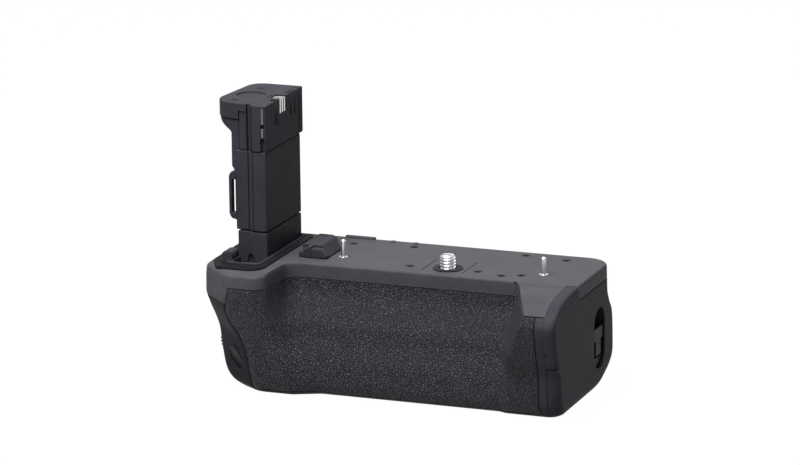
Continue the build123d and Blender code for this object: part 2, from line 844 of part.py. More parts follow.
def control_panel():
    panel = (outer & panel_zone) - inner - plate_space
    panel -= shutter_rod(overrun, 2 * overrun, shutter_ring_radius + running_gap)
    panel -= rod((dial_x, -dial_y - dial_half, -dial_drop), (0, 1, 0), dial_radius + ear_gap, 2 * dial_half)
    for side in (-1, 1):
        middle = -dial_y + side * (dial_half + ear_thickness / 2)
        ear = block(
            far_left, dial_x + ear_height / 2, middle - ear_thickness / 2, middle + ear_thickness / 2,
            -dial_drop - ear_height / 2, -dial_drop + ear_height / 2)
        panel += ear & under_skin
    panel -= dial_axle()
    panel -= rod((-mfn_reach - overrun, -mfn_y, -mfn_drop), (1, 0, 0), mfn_radius + button_gap, 2 * overrun)
    post_y = -mfn_y - panel_board_width / 2 + panel_post_radius
    post_z = -mfn_drop - panel_board_half + panel_post_radius
    post = rod((-panel_board_x, post_y, post_z), (-1, 0, 0), panel_post_radius, overrun)
    return panel + (post & under_skin)


def collar():
    outline = FilletPolyline(
        (collar_left, collar_rear), (collar_left, -collar_front + collar_round),
        (collar_left + collar_round, -collar_front), (collar_right, -collar_front),
        (collar_right, collar_rear), radius=collar_round / 2, close=True)
    plate = extrude(make_face(outline), amount=collar_height, dir=(0, 0, 1))
    return plate - prism_z(stalk_outline, -collar_height, 2 * collar_height)


def stalk_base():
    base = prism_z(stalk_outline, 0, stalk_base_height)
    for x, y in stalk_screw_spots():
        base -= upright(x, y, -wall, -wall + stalk_screw_length, stalk_screw_radius)
    return base


def stalk_screws():
    screws = []
    for x, y in stalk_screw_spots():
        screw = upright(x, y, -wall, -wall + stalk_screw_length, stalk_screw_radius)
        screws.append(screw + upright(x, y, -wall - stalk_screw_head_height, -wall, stalk_screw_head))
    for x, y in head_screw_spots():
        low = head_top - deck_screw_sink
        screw = upright(x, y, cap_bottom - stalk_screw_length, low, stalk_screw_radius)
        screw += upright(x, y, low, head_top - running_gap, deck_screw_head)
        screws.append(screw - cross_recess(x, y, head_top - driver_depth, head_top + overrun))
    return Compound(children=screws)


def head_screw_spots():
    return [(-stalk_left * x, stalk_rear * y) for x, y in head_screw_shares]


def head_screw_holes():
    holes = Part()
    for x, y in head_screw_spots():
        holes += upright(x, y, cap_bottom - stalk_screw_length, head_top + overrun, stalk_screw_radius)
        holes += upright(x, y, head_top - deck_screw_sink, head_top + overrun, deck_screw_head + running_gap)
    return holes


def stalk_body():
    body = prism_z(moved_in(stalk_outline, stalk_draft), stalk_base_height, body_top)
    right = tongue_left - stalk_joint_gap
    spine_left = body_left - spine_reach
    spine_top = cap_bottom - head_flare_height
    flare = [(right, cap_bottom), (right, body_top), (body_left, body_top)]
    flare += [(body_left, spine_top), (spine_left, spine_top)]
    flare += [
        (spine_left - (spine_left - head_left) * x, cap_bottom - head_flare_height * z)
        for x, z in reversed(head_flare_shares[:-1])]
    body += prism_y(flare, body_front, stalk_rear - stalk_draft) & head_space()
    body += block(
        spine_left, body_left, body_front, stalk_rear - stalk_draft, loop_low + loop_length, spine_top)
    return body - head_screw_holes()


def head_space():
    space = prism_z(head_outline, body_top, head_top)
    corners = space.edges().filter_by(Axis.Z).sort_by(Axis.X)
    space = fillet(corners[:1], radius=head_round)
    corners = space.edges().filter_by(Axis.Z).sort_by(Axis.Y)
    return fillet(corners[-2:].sort_by(Axis.X)[:1], radius=head_rear_round)


def stalk_head():
    space = head_space()
    head = space & block(far_left, far_right, far_front, far_rear, cap_bottom, head_top)
    head += space & block(tongue_left, far_right, far_front, far_rear, body_top, cap_bottom)
    groove = -stalk_right - head_groove_inset
    head -= block(
        groove - head_groove_width, groove, -stalk_front - overrun, -stalk_front + head_groove_depth,
        body_top, head_top)
    head -= block(
        -stalk_right - head_strip_width, -stalk_right, -stalk_front - overrun,
        -stalk_front + head_pocket_depth, body_top, body_top + head_pocket_height)
    head -= upright(
        -stalk_right - dimple_inset, -stalk_front + dimple_setback, head_top - dimple_depth,
        head_top + overrun, dimple_radius)
    for along, down, width in contact_slot_shares:
        middle = -stalk_front + (head_rear + stalk_front) * along
        head -= block(
            -stalk_right - contact_slot_depth, -stalk_right + overrun, middle - width / 2,
            middle + width / 2, head_top - head_height * down, head_top + overrun)
    contact_front = -stalk_front + contact_setback
    head -= block(
        -stalk_right - contact_reach, -stalk_right + overrun, contact_front, contact_front + contact_span,
        head_top - contact_drop, head_top + overrun)
    return head - head_screw_holes()


def stalk_contacts():
    blades = []
    back = -stalk_right - contact_reach
    face = -stalk_right - stalk_draft
    floor = head_top - contact_drop
    top = head_top - contact_thickness
    for index in range(contact_count):
        middle = -stalk_front + contact_setback + contact_span * (index + 1 / 2) / contact_count
        low = middle - contact_width / 2
        high = middle + contact_width / 2
        blade = block(back, back + contact_thickness, low, high, floor, top)
        blade += block(back, face, low, high, top - contact_thickness, top)
        blade += block(face - contact_thickness, face, low, high, floor + contact_thickness, top)
        blades.append(blade)
    return Compound(children=blades)


def stalk_loop():
    left = body_left - loop_reach
    high = loop_low + loop_length
    bar = block(left, body_left, body_front, body_front + loop_width, loop_low, high)
    bar = chamfer(bar.edges().filter_by(Axis.Y).sort_by(Axis.X)[:2], length=loop_end / 2)
    return bar - block(
        left + loop_bar, body_left + overrun, body_front - overrun, body_front + overrun,
        loop_low + loop_end, high - loop_end)


def lug_block():
    right = -stalk_right - lug_block_shift
    rear = -stalk_front - lug_block_gap
    return block(
        right - lug_block_width, right, rear - lug_block_length, rear, collar_height,
        collar_height + lug_block_height)


def door_block():
    right = -hook_left + hook_width
    side = [(-hook_left, 0), (right, 0), (right - hook_slope, hook_height), (-hook_left, hook_height)]
    front = -hook_bar_front + hook_bar_depth
    return prism_y(side, front, front + hook_depth)


def door_hook():
    front = -hook_bar_front
    bar = block(
        -hook_left - hook_bar_lead, -hook_left + hook_width, front, front + hook_bar_depth, 0,
        hook_bar_height)
    corner = bar.edges().filter_by(Axis.Y).sort_by(Axis.Z)[-2:].sort_by(Axis.X)[-1:]
    bar = chamfer(corner, length=hook_bar_height / 2)
    left = -hook_left + hook_rib_inset
    return bar + block(
        left, left + hook_rib_width, front, front + hook_bar_depth, 0, hook_bar_height + hook_rib_rise)


def port_frame():
    plate = inner & block(jack_face, end_seam_x, far_front, bay_front, plate_top, 0)
    plate -= jack_mouth(jack_face - running_gap, end_seam_x + overrun)
    for high in (-knuckle_top + body_gap + lug_thickness, -knuckle_top - knuckle_length - body_gap):
        lug = block(
            end_seam_x, hinge_x, -flap_hinge_y - lug_radius, -flap_hinge_y + lug_radius,
            high - lug_thickness, high)
        plate += lug + upright(hinge_x, -flap_hinge_y, high - lug_thickness, high, lug_radius)
    return plate - upright(hinge_x, -flap_hinge_y, far_low, 0, flap_pin_radius)


def jack_mouth(x0, x1):
    top = -jack_top - jack_mouth_drop
    low = top - jack_mouth_height
    half = jack_mouth_width / 2
    notch = latch_width / 2
    mouth = block(x0, x1, -jack_y - half, -jack_y + half, low, top)
    return mouth + block(x0, x1, -jack_y - notch, -jack_y + notch, low - latch_height, low)


def lan_jack():
    jack = block(
        jack_face - jack_depth, jack_face, -jack_y - jack_width / 2, -jack_y + jack_width / 2,
        -jack_top - jack_height, -jack_top)
    return jack - jack_mouth(jack_face - jack_mouth_depth, jack_face + overrun)


def lan_contacts():
    wires = []
    back = jack_face - jack_mouth_depth
    top = -jack_top - jack_mouth_drop
    half = wire_width / 2
    for index in range(wire_count):
        y = -jack_y + (index - (wire_count - 1) / 2) * wire_pitch
        wires.append(block(back, back + wire_length, y - half, y + half, top - wire_rise, top))
    return Compound(children=wires)


def lan_board():
    high = -jack_top - jack_height
    board = block(
        jack_face - jack_depth, jack_face, -lan_board_front, -jack_y + jack_width / 2,
        high - board_thickness, high)
    return board & casing(wall + body_gap)


def port_cover():
    cover = (casing(-flap_proud) & flap_zone) - casing(flap_wall - flap_proud)
    knuckle_low = -knuckle_top - knuckle_length
    for low, high in ((-knuckle_top, hinge_high), (hinge_low, knuckle_low)):
        cover -= block(end_seam_x, far_right, hinge_front, 0, low, high)
    cover -= block(end_seam_x, far_right, -flap_hinge_y, 0, far_low, overrun)
    cover += upright(hinge_x, -flap_hinge_y, knuckle_low, -knuckle_top, knuckle_radius)
    cover += block(
        hinge_x - knuckle_radius, hinge_x + knuckle_radius, hinge_front - knuckle_radius, -flap_hinge_y,
        knuckle_low, -knuckle_top)
    return cover - upright(hinge_x, -flap_hinge_y, far_low, 0, flap_pin_radius + running_gap)


def bay_frame():
    left = bay_end - bay_wall_thickness
    front = block(left, jack_face, bay_front, bay_front + bay_wall_thickness, plate_top, frame_low)
    end = block(left, bay_end, bay_front, tray_rear, plate_top, frame_low)
    return front + end


def terminal_spots():
    middle = (tray_front + tray_rear) / 2
    return [middle + terminal_pitch * (index - (terminal_count - 1) / 2) for index in range(terminal_count)]


def bay_contacts():
    springs = []
    for y in terminal_spots():
        springs.append(block(
            bay_end, tray_left - terminal_thickness - body_gap, y - terminal_width / 4,
            y + terminal_width / 4, terminal_z - terminal_height / 2, terminal_z + terminal_height / 2))
    return Compound(children=springs)


def tray_contacts():
    pads = []
    for y in terminal_spots():
        pads.append(block(
            tray_left - terminal_thickness, tray_left, y - terminal_width / 2, y + terminal_width / 2,
            terminal_z - terminal_height, terminal_z + terminal_height))
    return Compound(children=pads)


def battery_spots():
    """Left ends of the two batteries."""
    first = tray_left + tray_wall + battery_gap
    return (first, first + battery_length + 2 * battery_gap + tray_wall)


def magazine_tray():
    low = tray_low + tray_floor
    tray = block(tray_left, cup_back, tray_front, tray_rear, tray_low, tray_side_top)
    tray = fillet(tray.edges().filter_by(Axis.X).sort_by(Axis.Z)[:2], radius=tray_round)
    for left in battery_spots():
        tray -= block(
            left - battery_gap, left + battery_length + battery_gap, tray_front + tray_wall,
            tray_rear - tray_wall, low, tray_side_top + overrun)
    return tray


def battery_packs():
    low = tray_low + tray_floor
    front = tray_front + tray_wall + battery_gap
    packs = []
    for left in battery_spots():
        pack = block(left, left + battery_length, front, front + battery_width, low, low + battery_height)
        packs.append(fillet(pack.edges().filter_by(Axis.X), radius=battery_round))
    return Compound(children=packs)


def key_slot():
    """The long hole with round ends that the key lies in."""
    floor = right_reach - key_slot_depth
    high_z = -key_slot_top - key_slot_radius
    slot = rod((floor, key_y, high_z), (1, 0, 0), key_slot_radius, overrun)
    slot += rod((floor, key_y, key_axis_z), (1, 0, 0), key_slot_radius, overrun)
    return slot + block(
        floor, floor + overrun, key_y - key_slot_radius, key_y + key_slot_radius, key_axis_z, high_z)


def end_cover():
    cover = (outer & end_zone) - inner - flap_hole
    half = key_slot_radius + key_cup_wall
    cup = block(
        cup_back, right_reach, key_y - half, key_y + half, key_axis_z - half, -key_slot_top + key_cup_wall)
    return cover + (cup & under_skin) - key_slot()


def key_hub():
    floor = right_reach - key_slot_depth
    hub = rod((floor, key_y, key_axis_z), (1, 0, 0), key_hub_radius, key_slot_depth - key_hub_sink)
    half = key_arm_width / 2 + body_gap
    hub -= block(
        floor + key_sink, far_right, key_y - half, key_y + half,
        key_axis_z - key_lever_thickness / 2 - body_gap, 0)
    return hub - key_pin()


def key_lever():
    half = key_lever_thickness / 2
    arm = key_arm_width / 2
    arm_top = key_axis_z + key_arm_length
    lever = rod((key_axis_x, key_y - arm, key_axis_z), (0, 1, 0), half, key_arm_width)
    lever += block(key_axis_x - half, key_axis_x + half, key_y - arm, key_y + arm, key_axis_z, arm_top)
    lever += block(
        key_axis_x - half, key_axis_x + half, key_y - key_lever_width / 2, key_y + key_lever_width / 2,
        arm_top, -key_slot_top - key_finger_height)
    return lever - rod(
        (key_axis_x, key_y - overrun, key_axis_z), (0, 1, 0), key_pin_radius + running_gap, 2 * overrun)


def key_pin():
    reach = key_hub_radius - key_sink
    return rod((key_axis_x, key_y - reach, key_axis_z), (0, 1, 0), key_pin_radius, 2 * reach)


def main_board():
    return block(
        -board_left, -board_left + board_length, board_face, bay_front, -board_top - board_height,
        -board_top)


def board_parts():
    """The chips on the main board, and the transformer beside the network jack."""
    pieces = []
    for along, up, long_share, high_share in chip_shares:
        x = -board_left + board_length * along
        z = -board_top - board_height * (1 - up)
        half = board_length * long_share / 2
        rise = board_height * high_share / 2
        pieces.append(block(x - half, x + half, board_face - chip_height, board_face, z - rise, z + rise))
    front = jack_face - body_gap
    low = -jack_top - jack_height
    pieces.append(block(
        front - transformer_length, front, -transformer_y - transformer_width / 2,
        -transformer_y + transformer_width / 2, low, low + transformer_height))
    return Compound(children=pieces)


def shutter_spot(depth):
    return tuple(spot - depth * n for spot, n in zip(shutter_face, shutter_normal))


def shutter_rod(depth, length, radius):
    """A round on the shutter button's axis that starts depth below the panel and rises by length."""
    return rod(shutter_spot(depth), shutter_normal, radius, length)


def shutter_ring():
    cup = shutter_rod(shutter_cup_depth, shutter_cup_depth, shutter_ring_radius)
    bore = shutter_cup_depth - shutter_cup_floor
    return cup - shutter_rod(bore, bore + overrun, shutter_radius + shutter_gap)


def shutter_button():
    button = shutter_rod(shutter_thickness, shutter_thickness + shutter_proud, shutter_radius)
    bowl_radius = (shutter_radius ** 2 + shutter_dish ** 2) / (2 * shutter_dish)
    bowl = Pos(*shutter_spot(shutter_dish - shutter_proud - bowl_radius)) * Sphere(bowl_radius)
    stem_end = shutter_cup_depth - shutter_cup_floor - shutter_switch_height - shutter_travel - body_gap
    return (button - bowl) + shutter_rod(stem_end, stem_end - shutter_thickness, shutter_stem_radius)


def button_switches():
    """The small switches under the shutter button, the function button and the rear buttons."""
    floor = shutter_cup_depth - shutter_cup_floor
    switches = [shutter_rod(floor, shutter_switch_height, shutter_switch_radius)]
    switches.append(block(
        -panel_board_x - switch_thickness, -panel_board_x, -mfn_y - switch_half, -mfn_y + switch_half,
        -mfn_drop - switch_half, -mfn_drop + switch_half))
    for drop in rear_button_drops:
        switches.append(block(
            -rear_button_x - switch_half, -rear_button_x + switch_half, rear_board_face,
            rear_button_start - press_travel - body_gap, -drop - switch_half, -drop + switch_half))
    return Compound(children=switches)


def switch_boards():
    panel = block(
        -panel_board_x, -panel_board_x + board_thickness, -mfn_y - panel_board_width / 2,
        -mfn_y + panel_board_width / 2, -mfn_drop - panel_board_half, -mfn_drop + panel_board_half)
    rear = block(
        -rear_board_left, -rear_board_left + rear_board_length, rear_board_y, rear_board_face,
        -rear_board_top - rear_board_height, -rear_board_top)
    return Compound(children=[panel, rear])


def main_dial():
    bore = dial_axle_radius + running_gap
    dial = knurled(dial_radius, dial_width, dial_knurls, dial_knurl_depth, bore)
    return Pos(dial_x, -dial_y, -dial_drop) * Rot(90, 0, 0) * dial


def quick_dial():
    bore = quick_axle_radius + running_gap
    dial = knurled(quick_radius, quick_width, quick_knurls, dial_knurl_depth, bore)
    return Pos(-rear_button_x, quick_y, -quick_drop) * Rot(0, 90, 0) * dial


def dial_axle():
    half = dial_half + ear_thickness
    return rod((dial_x, -dial_y - half, -dial_drop), (0, 1, 0), dial_axle_radius, 2 * half)


def quick_axle():
    half = quick_half + ear_thickness
    return rod((-rear_button_x - half, quick_y, -quick_drop), (1, 0, 0), quick_axle_radius, 2 * half)


def mfn_button():
    return rod((-mfn_reach, -mfn_y, -mfn_drop), (1, 0, 0), mfn_radius, mfn_depth)


def rear_button(drop):
    start = (-rear_button_x, rear_button_start, -drop)
    button = rod(start, (0, 1, 0), rear_button_radius, rear_button_depth)
    return fillet(button.edges().sort_by(Axis.Y)[-1:], radius=button_gap)


def stick_base():
    base = block(
        -stick_x - stick_base_half, -stick_x + stick_base_half, rear_board_face,
        rear_board_face + stick_base_height, -stick_drop - stick_base_half, -stick_drop + stick_base_half)
    base -= rod(
        (-stick_x, rear_board_face + body_gap, -stick_drop), (0, 1, 0), stick_well_radius, stick_base_height)
    return base - side_trunnions(stick_base_half, trunnion_radius + running_gap)


def side_trunnions(half, radius):
    return rod((-stick_x - half, stick_pivot_y, -stick_drop), (1, 0, 0), radius, 2 * half)


def upright_trunnions(half, radius):
    return upright(-stick_x, stick_pivot_y, -stick_drop - half, -stick_drop + half, radius)


def stick_gimbal():
    start = stick_pivot_y - gimbal_thickness / 2
    ring = rod((-stick_x, start, -stick_drop), (0, 1, 0), gimbal_radius, gimbal_thickness)
    ring += side_trunnions(stick_base_half - trunnion_radius, trunnion_radius)
    ring -= rod((-stick_x, start - overrun, -stick_drop), (0, 1, 0), gimbal_bore, 2 * overrun)
    return ring - upright_trunnions(gimbal_radius, trunnion_radius + running_gap)


def stick():
    cap_start = stick_reach - stick_cap_height
    start = stick_pivot_y - gimbal_thickness / 2
    stem = rod((-stick_x, start, -stick_drop), (0, 1, 0), stick_rod_radius, cap_start - start)
    cap = rod((-stick_x, cap_start, -stick_drop), (0, 1, 0), stick_cap_radius, stick_cap_height)
    cap = fillet(cap.edges().sort_by(Axis.Y)[-1:], radius=stick_cap_height / 2)
    return stem + cap + upright_trunnions(gimbal_radius - trunnion_radius, trunnion_radius)


def power_switch():
    face = rear_reach + body_gap
    collar_start = rear_reach - wall - body_gap - switch_collar_height
    x = -switch_lever_x
    z = -switch_lever_drop
    lever = rod((x, face, z), (0, 1, 0), switch_disc_radius, switch_disc_height)
    lever += block(
        x - switch_tab_width / 2, x + switch_tab_width / 2, face, face + switch_tab_height,
        z, z + switch_disc_radius + switch_tab_length)
    lever += rod((x, collar_start, z), (0, 1, 0), switch_axle_radius, face - collar_start)
    return lever + rod((x, collar_start, z), (0, 1, 0), switch_collar_radius, switch_collar_height)


parts = {
    "top_cover": top_cover(),
    "front_cover": front_cover(),
    "rear_cover": rear_cover(),
    "control_panel": control_panel(),
    "grip_leather": leather_skin,
    "thumb_pad": thumb_skin,
    "base_plate": base_plate(),
    "base_screws": base_screws(),
    "sub_frame": sub_frame(),
    "deck_screws": deck_screws(),
    "guide_pins": guide_pins(),
    "screw_bush": screw_bush(),
    "tripod_screw": tripod_screw(),
    "screw_gear": gear(screw_gear_teeth, spindle_radius, gear_low, gear_thickness, 1 / 2),
    "attach_wheel": attach_wheel(),
    "wheel_pin": upright(0, wheel_y, frame_low, -wall, wheel_pin_radius),
    "tripod_socket": tripod_socket(),
    "stalk_collar": collar(),
    "stalk_base": stalk_base(),
    "stalk_body": stalk_body(),
    "stalk_head": stalk_head(),
    "stalk_screws": stalk_screws(),
    "stalk_contacts": stalk_contacts(),
    "stalk_loop": stalk_loop(),
    "lug_block": lug_block(),
    "door_block": door_block(),
    "door_hook": door_hook(),
    "port_frame": port_frame(),
    "lan_jack": lan_jack(),
    "lan_contacts": lan_contacts(),
    "lan_board": lan_board(),
    "port_cover": port_cover(),
    "port_cover_pin": upright(
        hinge_x, -flap_hinge_y, hinge_low + body_gap, hinge_high - body_gap, flap_pin_radius),
    "bay_frame": bay_frame(),
    "bay_contacts": bay_contacts(),
    "end_cover": end_cover(),
    "magazine_tray": magazine_tray(),
    "tray_contacts": tray_contacts(),
    "battery_packs": battery_packs(),
    "key_hub": key_hub(),
    "key_lever": key_lever(),
    "key_pin": key_pin(),
    "main_board": main_board(),
    "board_parts": board_parts(),
    "shutter_ring": shutter_ring(),
    "shutter_button": shutter_button(),
    "main_dial": main_dial(),
    "quick_dial": quick_dial(),
    "dial_axles": Compound(children=[dial_axle(), quick_axle()]),
    "mfn_button": mfn_button(),
    "button_switches": button_switches(),
    "switch_boards": switch_boards(),
    "stick_base": stick_base(),
    "stick_gimbal": stick_gimbal(),
    "stick": stick(),
    "power_switch": power_switch(),
}
for name, drop in zip(rear_button_names, rear_button_drops):
    parts[name] = rear_button(drop)

for name, solid in parts.items():
    export_step(solid, os.path.join(out, name + ".step"))
    print(name, round(solid.volume))
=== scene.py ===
import bmesh
import bpy
import math

import numpy as np
from mathutils import Matrix, Vector


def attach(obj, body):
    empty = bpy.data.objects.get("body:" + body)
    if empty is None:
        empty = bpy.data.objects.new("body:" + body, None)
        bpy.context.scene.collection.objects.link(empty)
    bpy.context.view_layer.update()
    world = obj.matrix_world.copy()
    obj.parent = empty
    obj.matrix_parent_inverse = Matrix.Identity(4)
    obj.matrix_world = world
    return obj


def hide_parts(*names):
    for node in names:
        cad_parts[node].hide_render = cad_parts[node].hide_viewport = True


# Battery grip for a camera. The tables are in millimetres and every mesh is made in metres.
# X runs along the grip, -Y is its leather front and +Z is up.
# The origin lies on the deck, at the tripod screw.
mm = 0.001

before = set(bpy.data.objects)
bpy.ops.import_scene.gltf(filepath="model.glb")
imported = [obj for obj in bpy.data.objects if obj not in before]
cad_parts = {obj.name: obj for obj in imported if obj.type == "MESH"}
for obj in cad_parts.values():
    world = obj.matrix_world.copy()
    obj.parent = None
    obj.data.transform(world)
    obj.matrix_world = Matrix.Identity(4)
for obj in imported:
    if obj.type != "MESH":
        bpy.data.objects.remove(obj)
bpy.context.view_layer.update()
print("frame loaded:", len(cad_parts), "nodes")


# A dictionary whose values can be read as look.name
class Look(dict):
    __getattr__ = dict.__getitem__


def linked(name, data):
    thing = bpy.data.objects.new(name, data)
    bpy.context.scene.collection.objects.link(thing)
    return thing


# Camera, at the photograph's angle
cameraLook = Look(
    azimuth=21.0, elevation=14.6, roll=0.62, distance=1800.0, aside=-19.2, above=14.4,
    lens=202.5, sensor=36.0, nearest=50.0, farthest=20000.0)


def placeCamera(look):
    azimuth, elevation, roll = (math.radians(look[key]) for key in ("azimuth", "elevation", "roll"))
    right = Vector((math.cos(azimuth), math.sin(azimuth), 0))
    back = Vector((
        math.sin(azimuth) * math.cos(elevation), -math.cos(azimuth) * math.cos(elevation),
        math.sin(elevation)))
    up = back.cross(right)
    tiltedRight = right * math.cos(roll) - up * math.sin(roll)
    tiltedUp = right * math.sin(roll) + up * math.cos(roll)
    spot = tiltedRight * look.aside + tiltedUp * look.above + back * look.distance
    data = bpy.data.cameras.new("photoCamera")
    data.lens = look.lens
    data.sensor_width = look.sensor
    data.clip_start = look.nearest * mm
    data.clip_end = look.farthest * mm
    camera = linked("photoCamera", data)
    turn = Matrix((tiltedRight, tiltedUp, back)).transposed().to_4x4()
    camera.matrix_world = Matrix.Translation(spot * mm) @ turn
    bpy.context.scene.camera = camera


placeCamera(cameraLook)
bpy.context.scene.view_settings.view_transform = "Standard"
print("camera placed")


# Shader sums: a wire holds a socket, and each operator on it adds a Math node
def operator(operation, reflected=False):
    def apply(wire, other):
        first, second = (other, wire) if reflected else (wire, other)
        return wire.tree.node("ShaderNodeMath", {"operation": operation}, {0: first, 1: second})

    return apply


class Wire:
    def __init__(self, tree, socket):
        self.tree, self.socket = tree, socket

    __add__, __radd__ = operator("ADD"), operator("ADD", True)
    __sub__, __rsub__ = operator("SUBTRACT"), operator("SUBTRACT", True)
    __mul__, __rmul__ = operator("MULTIPLY"), operator("MULTIPLY", True)


# A node tree, to which node() adds a node with its settings and the values or links of its sockets
class Tree:
    def __init__(self, tree):
        self.tree = tree
        tree.nodes.clear()

    def node(self, kind, settings=None, values=None, output=0):
        made = self.tree.nodes.new(kind)
        for key, value in (settings or {}).items():
            setattr(made, key, value)
        for key, value in (values or {}).items():
            socket = made.inputs[key]
            if isinstance(value, Wire):
                self.tree.links.new(value.socket, socket)
            else:
                socket.default_value = value
        return Wire(self, made.outputs[output]) if made.outputs else None

    def seenRays(self):
        # 1 for camera, glossy and transmission rays, and 0 for the light that falls on other things
        camera, glossy, transmission = (
            self.node("ShaderNodeLightPath", output=f"Is {kind} Ray")
            for kind in ("Camera", "Glossy", "Transmission"))
        return camera + glossy + transmission


class Finish(Tree):
    def __init__(self, name):
        self.material = bpy.data.materials.new(name)
        self.material.use_nodes = True
        super().__init__(self.material.node_tree)

    def place(self):
        return self.node("ShaderNodeTexCoord", output="Object")

    def noise(self, scale, detail=3.0, roughness=0.6):
        return self.node(
            "ShaderNodeTexNoise", None,
            {"Vector": self.place(), "Scale": scale, "Detail": detail, "Roughness": roughness})

    def ramp(self, value, low, high):
        return self.node("ShaderNodeMapRange", None, {"Value": value, "From Min": low, "From Max": high})

    def mixed(self, factor, look):
        # input 6 and 7 are the two colours, and output 2 is their mix
        return self.node(
            "ShaderNodeMix", {"data_type": "RGBA"},
            {"Factor": factor, 6: (*look.dark, 1), 7: (*look.light, 1)}, 2)

    def bevel(self, radius):
        return self.node("ShaderNodeBevel", {"samples": 4}, {"Radius": radius * mm})

    def bump(self, height, strength, depth, normal=None):
        values = {"Height": height, "Strength": strength, "Distance": depth * mm}
        if normal is not None:
            values["Normal"] = normal
        return self.node("ShaderNodeBump", None, values)

    def end(self, shader):
        self.node("ShaderNodeOutputMaterial", None, {"Surface": shader})
        return self.material

    def surface(self, values):
        return self.end(self.node("ShaderNodeBsdfPrincipled", None, values))


def lookTable(columns, rows):
    return {name: Look(zip(columns.split(), values)) for name, *values in rows}


# Moulded plastic with a spark-eroded grain, under a slow cloud that changes its shade and roughness
plasticCloud = Look(scale=90.0, shadeRange=(0.3, 0.7), roughRange=(0.25, 0.75))
plasticLooks = lookTable(
    "dark light roughness roughnessSpread gloss grainScale grainStrength grainDepth edge", (
    ("deckPlastic", (0.058, 0.0582, 0.066), (0.072, 0.0725, 0.081), 0.48, 0.08, 0.03, 2200, 0.45, 0.12, 0.25),
    ("coverPlastic", (0.037, 0.037, 0.045), (0.046, 0.046, 0.055), 0.42, 0.06, 0.012, 2800, 0.28, 0.08, 0.35),
    # panelPlastic is coverPlastic with darker colours: painted shade on the control panel at the left end
    ("panelPlastic", (0.018, 0.018, 0.023), (0.024, 0.024, 0.029), 0.42, 0.06, 0.012, 2800, 0.28, 0.08, 0.35),
    ("stalkPlastic", (0.036, 0.036, 0.044), (0.045, 0.045, 0.054), 0.44, 0.06, 0.01, 2800, 0.3, 0.08, 0.35),
    ("controlPlastic", (0.014, 0.014, 0.017), (0.020, 0.020, 0.024), 0.38, 0.06, 0.03, 3400, 0.2, 0.05, 0.2),
    ("innerPlastic", (0.013, 0.013, 0.015), (0.019, 0.019, 0.022), 0.55, 0.06, 0.08, 2800, 0.25, 0.06, 0.2),
    ("sealRubber", (0.006, 0.006, 0.007), (0.010, 0.010, 0.011), 0.6, 0.08, 0.06, 1800, 0.2, 0.06, 0.3),
    ("batteryShell", (0.060, 0.060, 0.066), (0.075, 0.075, 0.080), 0.5, 0.06, 0.4, 2600, 0.2, 0.05, 0.4),
    ("blackScrew", (0.003, 0.003, 0.0035), (0.007, 0.007, 0.008), 0.32, 0.1, 0.05, 4000, 0.15, 0.03, 0.1),
    ("boardCoat", (0.010, 0.060, 0.028), (0.016, 0.085, 0.040), 0.35, 0.1, 0.5, 900, 0.2, 0.03, 0.1),
    ("chipBlack", (0.012, 0.012, 0.013), (0.020, 0.020, 0.021), 0.5, 0.1, 0.4, 2200, 0.2, 0.03, 0.1)))


def mouldedPlastic(name, look):
    finish = Finish(name)
    grain = finish.noise(look.grainScale, detail=2.0)
    cloud = finish.noise(plasticCloud.scale)
    spread = (finish.ramp(cloud, *plasticCloud.roughRange) - 0.5) * look.roughnessSpread
    return finish.surface({
        "Base Color": finish.mixed(finish.ramp(cloud, *plasticCloud.shadeRange), look),
        "Roughness": look.roughness + spread, "Specular IOR Level": look.gloss,
        "Normal": finish.bump(grain, look.grainStrength, look.grainDepth, finish.bevel(look.edge))})


# Rubber skin with a pebbled leather grain: raised pads between fine creases, with painted shade darkening the
# creases and a painted highlight lightening the pads
leatherLook = Look(
    scale=1000.0, warp=0.9, warpScale=0.8, smallScale=1.9, fineScale=4200.0, cloudScale=60.0,
    creaseStart=0.02, creaseWidth=0.24, smallWidth=0.25, padShare=0.8, smallShare=0.2,
    fineShare=0.05, cloudShare=0.2, dark=(0.012, 0.012, 0.0145), light=(0.053, 0.052, 0.063),
    evenness=0.9, roughness=0.46, roughnessSpread=0.12, gloss=0.16, strength=1.0, depth=0.5)


def leatherRubber(name, look):
    finish = Finish(name)
    place, scale = finish.place(), look.scale
    warp = finish.node("ShaderNodeTexNoise", None, {
        "Vector": place, "Scale": scale * look.warpScale, "Detail": 2.0}, "Color")
    shift = finish.node("ShaderNodeVectorMath", {"operation": "SCALE"}, {0: warp, "Scale": look.warp * mm})
    bent = finish.node("ShaderNodeVectorMath", {"operation": "ADD"}, {0: place, 1: shift})

    def cells(feature, size, output):
        return finish.node("ShaderNodeTexVoronoi", {"feature": feature}, {
            "Vector": bent, "Scale": size, "Randomness": 1.0}, output)

    pads = finish.ramp(cells("DISTANCE_TO_EDGE", scale, "Distance"), look.creaseStart, look.creaseWidth)
    smallCrease = cells("DISTANCE_TO_EDGE", scale * look.smallScale, "Distance")
    smallPads = finish.ramp(smallCrease, 0.0, look.smallWidth)
    chance = finish.node("ShaderNodeSeparateColor", None, {"Color": cells("F1", scale, "Color")})
    fine = finish.noise(look.fineScale, detail=2.0)
    height = pads * look.padShare + smallPads * look.smallShare + fine * look.fineShare
    cloud = (finish.noise(look.cloudScale) - 0.5) * look.cloudShare
    # the pad mask paints the creases dark and the pads light, as painted shade and painted highlight, under a
    # random tone per pad and a slow cloud
    creaseShadeAndTone = pads * (chance * (1.0 - look.evenness) + look.evenness) + cloud
    return finish.surface({
        "Base Color": finish.mixed(creaseShadeAndTone, look), "Roughness": look.roughness - pads * look.roughnessSpread,
        "Specular IOR Level": look.gloss, "Normal": finish.bump(height, look.strength, look.depth)})


